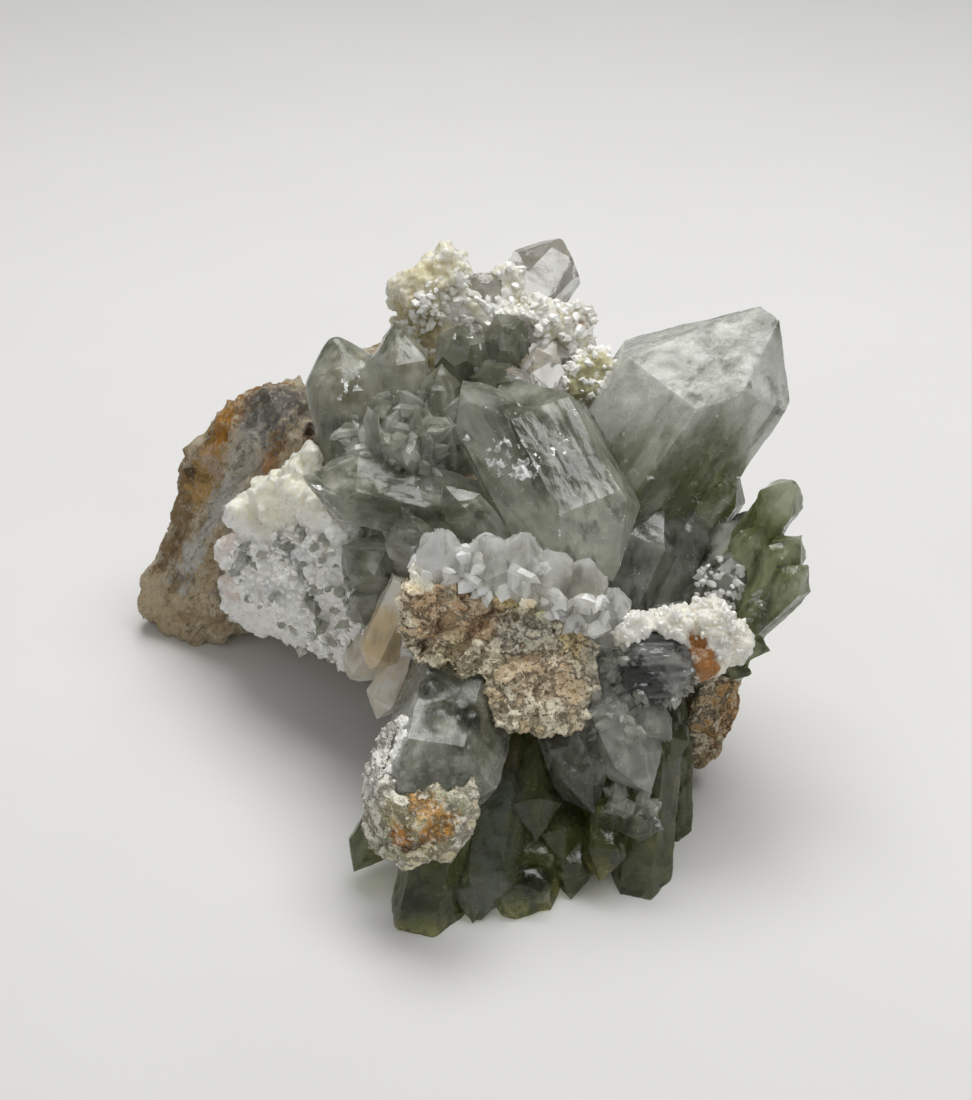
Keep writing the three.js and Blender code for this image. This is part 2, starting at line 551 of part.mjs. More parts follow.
const belowFloor = new THREE.BoxGeometry(FLOOR_SIZE, FLOOR_SIZE, FLOOR_DEPTH).translate(0, 0, -FLOOR_DEPTH / 2);
const floorBlock = toSolid(belowFloor);
const specimen = new THREE.Group();
const cutters = [];
for (const [name, build, color, roughness] of PIECES) {
  const whole = build(0);
  let solid = whole.subtract(floorBlock);
  for (const cutter of cutters) {
    solid = solid.subtract(cutter);
  }
  cutters.push(build(GAP).add(whole));
  const material = new THREE.MeshStandardMaterial({ color, roughness, metalness: 0 });
  const mesh = new THREE.Mesh(largestBody(solid), material);
  mesh.name = name;
  specimen.add(mesh);
}

specimen.position.set(-MIDDLE_X, -MIDDLE_Y, 0);

export default specimen;
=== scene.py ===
# %% [markdown]
# A chlorite quartz crystal cluster, dressed for its picture. The packed solids give every piece its
# place and its main facets. This lesson turns them into weathered rock, sugary crust and cloudy
# quartz, one kind of surface at a time, with mesh code and procedural materials only.

import math

import bmesh
import bpy
import numpy as np
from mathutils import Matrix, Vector, noise


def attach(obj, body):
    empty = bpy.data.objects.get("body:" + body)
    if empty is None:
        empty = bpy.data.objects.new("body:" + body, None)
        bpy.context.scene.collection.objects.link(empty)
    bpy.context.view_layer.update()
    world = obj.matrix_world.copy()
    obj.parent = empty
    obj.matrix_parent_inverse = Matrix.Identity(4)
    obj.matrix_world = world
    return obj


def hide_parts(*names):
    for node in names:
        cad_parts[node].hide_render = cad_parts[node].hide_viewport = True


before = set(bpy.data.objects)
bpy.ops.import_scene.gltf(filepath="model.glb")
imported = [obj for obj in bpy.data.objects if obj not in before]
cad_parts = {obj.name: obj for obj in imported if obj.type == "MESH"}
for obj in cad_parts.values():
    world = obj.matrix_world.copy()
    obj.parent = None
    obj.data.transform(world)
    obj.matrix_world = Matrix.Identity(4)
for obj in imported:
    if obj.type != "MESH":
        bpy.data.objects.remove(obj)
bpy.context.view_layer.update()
MM = 0.001

# %% [markdown]
# The photograph looks down on the specimen at 32 degrees with a long lens, from about 29 cm away.
# The camera comes first, so that every later step can be judged in the same view.

# %% The camera
CAMERA_PLACE = Vector((5.47, -231.77, 176)) * MM
CAMERA_DOWN = 32
FOCAL_PIXELS = 2050
IMAGE_HEIGHT = 1100
SENSOR = 36

camera_data = bpy.data.cameras.new("photo_view")
camera_data.sensor_width = SENSOR
camera_data.lens = FOCAL_PIXELS * SENSOR / IMAGE_HEIGHT
camera_data.clip_start = 0.01
camera_data.clip_end = 20
camera = bpy.data.objects.new("photo_view", camera_data)
camera.location = CAMERA_PLACE
camera.rotation_euler = (math.radians(90 - CAMERA_DOWN), 0, 0)
bpy.context.collection.objects.link(camera)
bpy.context.scene.camera = camera
print("lens in mm:", round(camera_data.lens, 2))

# %% [markdown]
# The colours of the specimen are read off its photograph as values from 0 to 255, but a shader works
# with linear values. srgb turns one into the other, so the cells below can give each colour as it
# looks in the picture.


# %% Colours as they are read off a picture
def srgb(red, green, blue):
    """A colour as it is read off a picture, 0 to 255, turned into the linear values of a shader"""
    steps = [value / 255 for value in (red, green, blue)]
    return (*[s / 12.92 if s <= 0.04045 else ((s + 0.055) / 1.055) ** 2.4 for s in steps], 1)


print("a white quartz face in shader values:", [round(value, 3) for value in srgb(250, 250, 247)])

# %% [markdown]
# A shader tree is easier to read as a few lines of sums than as a heap of node calls. Graph is a
# short way to add nodes: each call returns an output, and an output can be given wherever a value
# can. The same class then writes the materials, the shared effects and the light of the tent.


# %% A short way to write shader nodes
class Graph:
    """Writes the nodes of one tree. Values and outputs of other nodes are given alike"""

    def __init__(self, tree):
        self.tree = tree

    def feed(self, socket, value):
        if isinstance(value, bpy.types.NodeSocket):
            self.tree.links.new(value, socket)
        else:
            socket.default_value = value

    def add(self, kind, settings=None, output=0, **inputs):
        node = self.tree.nodes.new(kind)
        for name, value in (settings or {}).items():
            setattr(node, name, value)
        for name, value in inputs.items():
            self.feed(node.inputs[name.replace("_", " ")], value)
        return node.outputs[output]

    def math(self, operation, first, second=0.0, clamp=False):
        node = self.tree.nodes.new("ShaderNodeMath")
        node.operation = operation
        node.use_clamp = clamp
        self.feed(node.inputs[0], first)
        self.feed(node.inputs[1], second)
        return node.outputs[0]

    def vector(self, operation, first, second=(0, 0, 0), output=0):
        node = self.tree.nodes.new("ShaderNodeVectorMath")
        node.operation = operation
        self.feed(node.inputs[0], first)
        self.feed(node.inputs["Scale"] if operation == "SCALE" else node.inputs[1], second)
        return node.outputs[output]

    def mix(self, share, first, second):
        node = self.tree.nodes.new("ShaderNodeMix")
        node.data_type = "RGBA"
        self.feed(node.inputs[0], share)
        self.feed(node.inputs[6], first)
        self.feed(node.inputs[7], second)
        return node.outputs[2]

    def spread(self, value, low, high, to_low=0.0, to_high=1.0):
        """The value's range from low to high, stretched smoothly to another range"""
        settings = {"interpolation_type": "SMOOTHSTEP"}
        ends = {"From_Min": low, "From_Max": high, "To_Min": to_low, "To_Max": to_high}
        return self.add("ShaderNodeMapRange", settings, Value=value, **ends)

    def place(self):
        """Where a point is in the part's frame, in millimetres"""
        coordinates = self.add("ShaderNodeTexCoord", output="Object")
        return self.vector("SCALE", coordinates, 1 / MM)

    def use(self, group, output=0, **inputs):
        node = self.tree.nodes.new("ShaderNodeGroup")
        node.node_tree = group
        for name, value in inputs.items():
            self.feed(node.inputs[name.replace("_", " ")], value)
        return node.outputs[output]


def new_group(name, inputs, outputs):
    """An empty node group with named sockets, as its graph, its input outlets and its output node"""
    tree = bpy.data.node_groups.new(name, "ShaderNodeTree")
    for label, kind, value in inputs:
        socket = tree.interface.new_socket(name=label, in_out="INPUT", socket_type="NodeSocket" + kind)
        socket.default_value = value
    for label, kind in outputs:
        tree.interface.new_socket(name=label, in_out="OUTPUT", socket_type="NodeSocket" + kind)
    graph = Graph(tree)
    return graph, tree.nodes.new("NodeGroupInput").outputs, tree.nodes.new("NodeGroupOutput").inputs


print("node calls:", [name for name in vars(Graph) if not name.startswith("_")])

# %% [markdown]
# Rock and quartz share three effects, and each is a node group, built once. The first is mottle, the
# soft cloudy change of colour in all of them. It is noise that can be drawn out along an axis, because
# the layers in the rock and the growth lines in the quartz are long and narrow. All sizes are in
# millimetres.

# %% Mottle
graph, given, result = new_group(
    "mottle",
    [
        ("Size", "Float", 4.0),
        ("Detail", "Float", 5.0),
        ("Coarseness", "Float", 0.6),
        ("Axis", "Vector", (0, 0, 1)),
        ("Drawn Out", "Float", 0.0),
    ],
    [("Value", "Float")],
)
here = graph.place()
along = graph.vector("DOT_PRODUCT", here, given["Axis"], output="Value")
pulled = graph.vector("SCALE", given["Axis"], graph.math("MULTIPLY", along, given["Drawn Out"]))
drawn = graph.vector("SUBTRACT", here, pulled)
scale = graph.math("DIVIDE", 1.0, given["Size"])
fractal = graph.add(
    "ShaderNodeTexNoise", Vector=drawn, Scale=scale, Detail=given["Detail"], Roughness=given["Coarseness"]
)
graph.feed(result["Value"], fractal)
mottle = graph.tree
print("mottle takes:", [socket.name for socket in given if socket.name])

# %% [markdown]
# The second is the ragged band, for the stains, veins and cracks that have a place of their own on the
# specimen. It is the distance to a line from start to end, torn by a noise, and it is a round spot
# where the line has no length. A painted picture could hold the same stains, but a band stays sharp
# at any size and can be moved by one number.

# %% Ragged band
graph, given, result = new_group(
    "ragged band",
    [
        ("Start", "Vector", (0, 0, 0)),
        ("End", "Vector", (0, 0, 1)),
        ("Radius", "Float", 5.0),
        ("Softness", "Float", 1.0),
        ("Raggedness", "Float", 2.0),
        ("Edge Noise", "Float", 0.5),
    ],
    [("Mask", "Float")],
)
here = graph.place()
line = graph.vector("SUBTRACT", given["End"], given["Start"])
reach = graph.vector("SUBTRACT", here, given["Start"])
squared = graph.math("MAXIMUM", graph.vector("DOT_PRODUCT", line, line, output="Value"), 0.0001)
share = graph.math("DIVIDE", graph.vector("DOT_PRODUCT", reach, line, output="Value"), squared, clamp=True)
nearest = graph.vector("ADD", given["Start"], graph.vector("SCALE", line, share))
distance = graph.vector("DISTANCE", here, nearest, output="Value")
swing = graph.math("MULTIPLY", graph.math("SUBTRACT", given["Edge Noise"], 0.5), given["Raggedness"])
ragged = graph.math("ADD", distance, graph.math("MULTIPLY", swing, 4.0))
outer = graph.math("ADD", given["Radius"], given["Softness"])
inner = graph.math("SUBTRACT", given["Radius"], given["Softness"])
graph.feed(result["Mask"], graph.spread(ragged, outer, inner))
band = graph.tree
print("ragged band takes:", [socket.name for socket in given if socket.name])

# %% [markdown]
# The third is mineral grains: the small crystals that the rock and the druse are made of. Voronoi
# cells give each grain a tone of its own and a facet that is tilted like no other, which a smooth
# noise can't give.

# %% Mineral grains
graph, given, result = new_group(
    "mineral grains",
    [("Size", "Float", 0.5)],
    [("Tone", "Float"), ("Facets", "Float")],
)
scaled = graph.vector("SCALE", graph.place(), graph.math("DIVIDE", 1.0, given["Size"]))
cells = graph.tree.nodes.new("ShaderNodeTexVoronoi")
graph.feed(cells.inputs["Vector"], scaled)
graph.feed(cells.inputs["Scale"], 1.0)
tilt = graph.vector("SUBTRACT", cells.outputs["Color"], (0.5, 0.5, 0.5))
offset = graph.vector("SUBTRACT", scaled, cells.outputs["Position"])
facet = graph.vector("DOT_PRODUCT", tilt, offset, output="Value")
graph.feed(result["Facets"], graph.math("MULTIPLY", facet, given["Size"]))
graph.feed(result["Tone"], graph.add("ShaderNodeSeparateColor", Color=cells.outputs["Color"]))
grains = graph.tree
print("shared effects:", [group.name for group in bpy.data.node_groups])

# %% [markdown]
# Rock, crust and quartz differ in their colours and in how clear they are, but every one of them ends
# in one Principled BSDF. finish_material makes it, and gives it colour, roughness and a true-sized
# bump. Values that are the same all over go on the shader's own sockets.


# %% The end of every material
def new_material(name):
    material = bpy.data.materials.new(name)
    material.use_nodes = True
    material.node_tree.nodes.clear()
    return material, Graph(material.node_tree)


def finish_material(graph, colour, roughness, height=None, alpha=None, absorption=None, **plain):
    """height is in millimetres. plain holds the shader's uniform values, by socket name"""
    nodes = graph.tree.nodes
    shader = nodes.new("ShaderNodeBsdfPrincipled")
    graph.feed(shader.inputs["Base Color"], colour)
    graph.feed(shader.inputs["Roughness"], roughness)
    for name, value in plain.items():
        shader.inputs[name.replace("_", " ")].default_value = value
    if alpha is not None:
        graph.feed(shader.inputs["Alpha"], alpha)
    if height is not None:
        bump = graph.add("ShaderNodeBump", Height=height, Strength=1.0, Distance=MM)
        graph.feed(shader.inputs["Normal"], bump)
    output = nodes.new("ShaderNodeOutputMaterial")
    graph.feed(output.inputs["Surface"], shader.outputs[0])
    if absorption:
        tint, density = absorption
        volume = nodes.new("ShaderNodeVolumeAbsorption")
        volume.inputs["Color"].default_value = tint
        volume.inputs["Density"].default_value = density
        graph.feed(output.inputs["Volume"], volume.outputs[0])


print("materials so far:", len(bpy.data.materials))

# %% [markdown]
# Iron, chlorite and the cream of the crust lie in patches, and each patch has its place. A stain is
# one ragged band with a colour, at a place in the part's own millimetres. A list of stains is laid
# over a material's colour in order, the way paint goes on in glazes. share is how much of the colour
# below it a stain hides.


# %% Stains with a place of their own
def stain(start, radius, colour, share=0.85, end=None, softness=0.35, ragged=0.35):
    """A stain's place and size in mm. Softness and raggedness are shares of its radius"""
    return {
        "colour": srgb(*colour),
        "share": share,
        "shape": {
            "Start": start,
            "End": end or start,
            "Radius": radius,
            "Softness": softness * radius,
            "Raggedness": ragged * radius,
        },
    }


def stained(graph, colour, stains):
    """The colour with all the stains over it. One noise tears the edges of them all"""
    edge_noise = graph.use(mottle, Size=1.5, Detail=4.0, Coarseness=0.65)
    for one in stains:
        mask = graph.use(band, Edge_Noise=edge_noise, **one["shape"])
        colour = graph.mix(graph.math("MULTIPLY", mask, one["share"]), colour, one["colour"])
    return colour


print("a stain's shape:", stain((0, 0, 0), 2.0, (160, 110, 40))["shape"])

# %% [markdown]
# The cluster stands on a plain pale sheet. The sheet is one large plane, far larger than the picture,
# with a very soft mottle, because an even grey would look like a computer's and not like cloth.

# %% The floor
FLOOR_SIDE = 6.0

bpy.ops.mesh.primitive_plane_add(size=FLOOR_SIDE)
floor = bpy.context.object
floor.name = "pale_floor"
material, graph = new_material("pale sheet")
soft_marks = graph.use(mottle, Size=60.0, Detail=2.0)
sheet = graph.mix(soft_marks, srgb(228, 227, 225), srgb(234, 233, 232))
finish_material(graph, sheet, 0.85)
floor.data.materials.append(material)
print("floor:", FLOOR_SIDE, "m wide")

# %% [markdown]
# Two soft lamps hang above the cluster, one a little to the back and one to the right, so the arch
# throws its shadow to the front and left. A weak third one fills the shade from the left. The lamps
# are wide discs, because the shadows in the photograph have soft edges.

# %% The lamps
LAMP_AIM = (0, 0, 0.02)


def soft_light(name, place, size, power):
    """A round lamp at place, in metres, turned towards the cluster, with its power in watts"""
    light_data = bpy.data.lights.new(name, "AREA")
    light_data.shape = "DISK"
    light_data.size = size
    light_data.energy = power
    light = bpy.data.objects.new(name, light_data)
    light.location = place
    light.rotation_euler = (Vector(LAMP_AIM) - Vector(place)).to_track_quat("-Z", "Y").to_euler()
    bpy.context.collection.objects.link(light)


soft_light("back lamp", (-0.03, 0.2, 0.52), 0.32, 1.55)
soft_light("right lamp", (0.2, 0, 0.52), 0.3, 1.1)
soft_light("left fill", (-0.36, -0.26, 0.4), 0.35, 0.2)

# %% [markdown]
# Quartz mirrors and bends what is round it, so surroundings of one even brightness would make it look
# like plastic. The front and back walls of the light tent are bright and its sides dim. A small tree
# in the world does that: the brightness follows how far a direction points to the back or the front.

# %% The light tent
BACK_WALL = 0.4
FRONT_WALL = 0.65
SIDE_DIM = 0.1

world = bpy.data.worlds.new("light tent")
bpy.context.scene.world = world
world.use_nodes = True
graph = Graph(world.node_tree)
direction = graph.add("ShaderNodeTexCoord", output="Generated")
depth = graph.vector("DOT_PRODUCT", direction, (0, 1, 0), output="Value")
back_wall = graph.spread(depth, 0.2, 1.0, 0, BACK_WALL - SIDE_DIM)
front_wall = graph.spread(depth, -0.2, -1.0, 0, FRONT_WALL - SIDE_DIM)
brightness = graph.math("ADD", graph.math("ADD", back_wall, front_wall), SIDE_DIM)
background = world.node_tree.nodes["Background"]
background.inputs["Color"].default_value = srgb(244, 244, 242)
graph.feed(background.inputs["Strength"], brightness)
bpy.context.scene.view_settings.view_transform = "Standard"
print("tent walls, back, front and sides:", BACK_WALL, FRONT_WALL, SIDE_DIM)

# %% [markdown]
# Each dressed piece starts as a copy of its solid, so that it stands exactly where the solid does.
# The solid itself is never moved. finish_piece gives the piece its materials and its body, and hides
# the solids that it stands for.


# %% Copies of the solids
SAME_CORNER = 0.01 * MM


def copy_of(node, name):
    """An object of its own with the node's mesh, its doubled corners merged"""
    work = bmesh.new()
    work.from_mesh(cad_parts[node].data)
    bmesh.ops.remove_doubles(work, verts=work.verts, dist=SAME_CORNER)
    mesh = bpy.data.meshes.new(name)
    work.to_mesh(mesh)
    work.free()
    mesh.materials.clear()
    piece = bpy.data.objects.new(name, mesh)
    bpy.context.collection.objects.link(piece)
    return piece


def settle(piece):
    """Turns what the piece's modifiers make into its own mesh"""
    graph_now = bpy.context.evaluated_depsgraph_get()
    made = bpy.data.meshes.new_from_object(piece.evaluated_get(graph_now))
    piece.modifiers.clear()
    piece.data = made


def finish_piece(piece, nodes=(), materials=()):
    """Gives the piece its materials and its body, and hides the nodes that it replaces"""
    for material in materials:
        piece.data.materials.append(material)
    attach(piece, "root")
    if nodes:
        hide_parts(*nodes)
    print(piece.name, len(piece.data.polygons), "faces")


print("faces of the plain matrix rock:", len(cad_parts["matrix_rock"].data.polygons))

# %% [markdown]
# Natural surfaces are uneven on several scales at once. Here each kind of unevenness is a layer, a
# small function that says how far a point is lifted: lumps, rounded nodules, swellings at one place
# and cracks along a path. A displacement modifier with a texture could lift them too, but functions
# are easier to place on the real spot. All their sizes are in mm. The vector noise that makes the
# cracks wander is seeded, because without a seed it starts from the clock and differs every time.


# %% Layers of unevenness
LUMP_OCTAVES = 4


def lumps(size, amount, axis=None, drawn_out=0.0):
    """Uneven at every scale from size down, drawn out along the axis where one is given"""

    def lift(point):
        if axis:
            point = point - axis * (point.dot(axis) * drawn_out)
        return amount * noise.fractal(point / size, 1.0, 2.0, LUMP_OCTAVES)

    return lift


def nodules(size, amount):
    """Rounded knobs with sharp seams between them"""

    def lift(point):
        return amount * (0.5 - noise.voronoi(point / size)[0][0])

    return lift


def swelling(centre, radius, amount):
    """One low dome at a place of its own"""
    middle = Vector(centre)

    def lift(point):
        near = 1 - ((point - middle).length / radius) ** 2
        return amount * near * near if near > 0 else 0

    return lift


SEED = 7
CRACK_WANDER = 0.5
WANDER_SIZE = 1.3
noise.seed_set(SEED)


def crack(path, width, depth):
    """A groove along the path, which wanders a little to either side"""
    corners = [Vector(corner) for corner in path]

    def lift(point):
        point = point + CRACK_WANDER * noise.noise_vector(point / WANDER_SIZE)
        best = width
        for start, end in zip(corners, corners[1:]):
            line = end - start
            share = min(1, max(0, (point - start).dot(line) / line.length_squared))
            best = min(best, (point - start - share * line).length)
        return -depth * (1 - (best / width) ** 2)

    return lift


print("a dome's lift at its middle in mm:", swelling((0, 0, 0), 3.0, 1.2)(Vector((0, 0, 0))))

# %% [markdown]
# The layers need a fine even mesh to work on, and a packed solid has only a few large faces. A remesh
# gives one. Then every corner moves along its normal by the sum of the layers. No corner may end up
# below the floor, where the specimen stands.


# %% Weathered surfaces
def corners_of(mesh):
    """The places in mm and the normals of all the corners"""
    places = np.empty(len(mesh.vertices) * 3)
    normals = np.empty(len(mesh.vertices) * 3)
    mesh.vertices.foreach_get("co", places)
    mesh.vertex_normals.foreach_get("vector", normals)
    return places.reshape(-1, 3) / MM, normals.reshape(-1, 3)


def move_corners(piece, places):
    """Puts the corners at their new places in mm, none below the floor, with smooth shading"""
    places[:, 2] = np.maximum(places[:, 2], 0)
    piece.data.vertices.foreach_set("co", (places * MM).ravel())
    piece.data.polygons.foreach_set("use_smooth", [True] * len(piece.data.polygons))
    piece.data.update()


def push_out(piece, layers):
    """Moves the corners along their normals by the sum of the layers"""
    places, normals = corners_of(piece.data)
    lifts = np.array([sum(lift(Vector(place)) for lift in layers) for place in places])
    move_corners(piece, places + normals * lifts[:, None])


def even_mesh(node, name, rounding=0, **settings):
    """A copy of the node's solid with a fine mesh, by a remesh with the given settings"""
    piece = copy_of(node, name)
    remesh = piece.modifiers.new("even mesh", "REMESH")
    for label, value in settings.items():
        setattr(remesh, label, value)
    if rounding:
        piece.modifiers.new("rounded", "SMOOTH").iterations = rounding
    settle(piece)
    return piece


def weathered(node, name, voxel, layers):
    """The node's solid with a mesh of voxel-sized faces, lifted by the layers"""
    piece = even_mesh(node, name, mode="VOXEL", voxel_size=voxel * MM)
    push_out(piece, layers)
    return piece


print("corners of the plain matrix rock:", len(corners_of(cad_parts["matrix_rock"].data)[0]))

# %% [markdown]
# The matrix rock is old vein rock in thin layers, which run up along the slab. Iron has stained it
# ochre and brown, a blue-grey band lies in the middle, and its broken corner is tan. The thin layers
# are noise drawn out along one axis. The stains lie where the picture shows them on the slab. A few
# broad ones colour the back, which no picture shows, and the last three are the rusty hollow.

# %% The colours of the matrix rock
LAYER_AXIS = Vector((0.53, -0.02, 0.85)).normalized()
BAND_EDGE = {"ragged": 1.1, "softness": 0.5}

blue_band_low = stain((-40.5, 24, 11), 2.0, (236, 236, 228), end=(-32.5, 22.3, 27), share=0.92, **BAND_EDGE)
blue_band_high = stain((-32.5, 22.3, 27), 2.6, (250, 246, 234), end=(-25.5, 21.5, 39), **BAND_EDGE)

material, graph = new_material("weathered matrix")
broad = graph.use(mottle, Size=3.6, Detail=5.0, Coarseness=0.65)
streak = graph.use(mottle, Size=1.5, Detail=5.0, Coarseness=0.65, Axis=LAYER_AXIS, Drawn_Out=0.75)
fine = graph.use(mottle, Size=0.8, Detail=5.0, Coarseness=0.75, Axis=LAYER_AXIS, Drawn_Out=0.4)
tone = graph.use(grains, output="Tone", Size=0.5)
facets = graph.use(grains, output="Facets", Size=0.6)
colour = graph.mix(graph.spread(broad, 0.38, 0.6), srgb(208, 186, 150), srgb(250, 236, 208))
colour = stained(
    graph,
    colour,
    [
        stain((-43, 25, 5), 7, (228, 204, 162), end=(-38, 23, 14), share=0.7, ragged=0.7),
        stain((-41.5, 27.5, 12), 2.8, (162, 130, 88), end=(-37.5, 29, 27), share=0.8, ragged=0.9),
        stain((-36, 26.5, 25.5), 3.0, (222, 178, 104), end=(-31, 26.5, 35.5), ragged=0.9),
        stain((-31.5, 26.5, 34.5), 3.4, (216, 152, 62), end=(-26, 28, 40), share=0.95, ragged=0.9),
        stain((-34, 25.5, 29), 2.0, (234, 208, 184), share=0.9, ragged=0.9),
        stain((-32.6, 28, 34.6), 1.1, (74, 64, 58), ragged=0.9),
        stain((-37.7, 28, 27.2), 1.2, (92, 72, 52), ragged=0.9),
        stain((-24, 19.5, 37), 2.2, (194, 138, 78), end=(-26, 18, 33.5), ragged=0.9),
        blue_band_low,
        blue_band_high,
        stain((-25, 22.5, 40), 4.2, (120, 121, 120), end=(-20.5, 23, 44), ragged=1.0, softness=0.6),
        stain((-41, 23.5, 12.2), 0.9, (210, 204, 84), share=0.9, ragged=0.9),
        stain((-30, 29.5, 38.5), 1.3, (248, 238, 204), end=(-25, 31.5, 42), ragged=0.7),
        stain((-38, 29.5, 28), 0.8, (226, 196, 120), end=(-33.5, 29.5, 35), ragged=0.9),
        stain((-34, 17, 12), 3.0, (204, 186, 172), end=(-28.5, 16, 24), share=0.8, ragged=0.8),
        stain((-40, 21, 5), 2.4, (188, 160, 120), end=(-34, 19, 6), share=0.7, ragged=0.9),
        stain((-44.5, 23, 3.5), 1.5, (104, 80, 54), ragged=0.9),
        stain((-12, 40, 12), 8, (198, 172, 130), end=(2, 40, 30), share=0.7, ragged=0.9),
        stain((14, 40, 34), 6, (176, 132, 78), end=(32, 38, 16), share=0.7, ragged=0.9),
        stain((-2, 38, 38), 4, (206, 196, 176), end=(-14, 34, 34), share=0.8, ragged=1.0),
        stain((24, 38, 6), 5, (120, 100, 78), end=(8, 40, 8), share=0.7, ragged=0.9),
        stain((36, 20, 10), 6, (178, 146, 100), end=(34, 14, 24), share=0.7, ragged=0.9),
        stain((-17, 13, 40), 4.0, (122, 78, 28), share=0.92),
        stain((-19, 15, 41.5), 1.6, (48, 36, 24), share=0.9, ragged=0.9),
        stain((-23.3, 16.6, 38.6), 1.2, (72, 60, 54), ragged=0.9),
    ],
)
colour = graph.mix(graph.spread(streak, 0.46, 0.34, 0, 0.55), colour, srgb(138, 116, 88))
colour = graph.mix(graph.spread(streak, 0.56, 0.68, 0, 0.6), colour, srgb(238, 226, 202))
colour = graph.mix(graph.spread(fine, 0.54, 0.66, 0, 0.6), colour, srgb(118, 98, 72))
colour = graph.mix(graph.spread(fine, 0.44, 0.32, 0, 0.6), colour, srgb(240, 230, 208))
colour = graph.mix(graph.spread(tone, 0.86, 1.0, 0, 0.5), colour, srgb(238, 230, 212))
height = graph.math("ADD", graph.math("MULTIPLY", fine, -1.6), graph.math("MULTIPLY", streak, 1.6))
height = graph.math("ADD", height, graph.math("MULTIPLY", facets, 0.5))
finish_material(graph, colour, 0.85, height=height, Specular_IOR_Level=0.3)
matrix_material = material
print("nodes in the matrix material:", len(graph.tree.nodes))

# %% [markdown]
# The slab has split along its layers, so the mesh gets the same drawn-out lumps as the colour. Its
# large cracks are put in one by one, where the picture shows a dark line with a depth. The finer ones
# are left to the bump in the material, which costs no faces.

# %% The shape of the matrix rock
MATRIX_VOXEL = 0.5

rock = weathered(
    "matrix_rock",
    "weathered_matrix",
    MATRIX_VOXEL,
    [
        lumps(7.0, 1.3),
        lumps(2.4, 1.0, LAYER_AXIS, 0.6),
        lumps(1.1, 0.5, LAYER_AXIS, 0.4),
        crack([(-36, 25, 19), (-33, 23.5, 25), (-27.5, 22.5, 34)], 1.0, 0.9),
        crack([(-41, 25, 11), (-35, 21, 13), (-31, 17, 12)], 1.0, 0.9),
        crack([(-38, 27, 26), (-33, 26, 30), (-29, 25, 36), (-24, 23, 41)], 0.9, 0.8),
        crack([(-43, 24, 6), (-37, 20, 7), (-31, 17, 7)], 1.0, 0.8),
        crack([(-30, 22, 30), (-26, 20, 32), (-24, 18, 37)], 0.9, 0.8),
    ],
)
finish_piece(rock, ["matrix_rock"], [matrix_material])

# %% [markdown]
# The front rock, the cap and the flakes are the same vein rock seen close to: sand-sized grains,
# pinkish and tan, with black specks between them. One function makes the material of all three, from
# a warm, a pale and a dark colour. Where its broad noise crosses the middle, a thin dark line of
# painted shade is left, which gives the fine net of crevices.


# %% A material for granular rock
def granular_rock(name, warm, pale, dark, stains, speck=0.75):
    """Three colours as in the picture, stains, and how strongly the black specks show"""
    warm, pale, dark = [srgb(*shade) for shade in (warm, pale, dark)]
    material, graph = new_material(name)
    broad = graph.use(mottle, Size=3.0, Detail=5.0, Coarseness=0.6)
    fine = graph.use(mottle, Size=0.55, Detail=3.0, Coarseness=0.7)
    dots = graph.use(mottle, Size=0.42, Detail=2.0, Coarseness=0.5)
    tone = graph.use(grains, output="Tone", Size=0.4)
    facets = graph.use(grains, output="Facets", Size=0.45)
    colour = graph.mix(graph.spread(broad, 0.38, 0.62), warm, pale)
    colour = stained(graph, colour, stains)
    colour = graph.mix(graph.spread(tone, 0.5, 0.95, 0, 0.55), colour, pale)
    colour = graph.mix(graph.spread(fine, 0.55, 0.7, 0, 0.5), colour, warm)
    colour = graph.mix(graph.spread(dots, 0.56, 0.66, 0, speck), colour, dark)
    off_crevice = graph.math("ABSOLUTE", graph.math("SUBTRACT", broad, 0.5))
    # Painted shade: the dark colour goes into the thin crevice lines, which the bump sinks a little.
    colour = graph.mix(graph.spread(off_crevice, 0.028, 0.0, 0, 0.6), colour, dark)
    height = graph.math("ADD", graph.math("MULTIPLY", dots, -0.5), graph.math("MULTIPLY", facets, 0.5))
    height = graph.math("ADD", height, graph.spread(off_crevice, 0.0, 0.05, -0.5, 0))
    finish_material(graph, colour, 0.8, height=height, Specular_IOR_Level=0.35)
    return material


GRAIN_VOXEL = 0.24
print("grain of the rock mesh in mm:", GRAIN_VOXEL)

# %% [markdown]
# The tan rock lies like a scab across the front. It is pink at the left, ochre in the middle and pale
# at the lower right, with a rim of small white crystals above and at the right. Narrow lines of painted
# shade follow its cracks, so that each crack stays dark also where the lamps reach into it.

# %% The colours of the front tan rock
WHITE_RIM = (244, 238, 220)
CRACK_PAINTED_SHADE = (52, 42, 32)

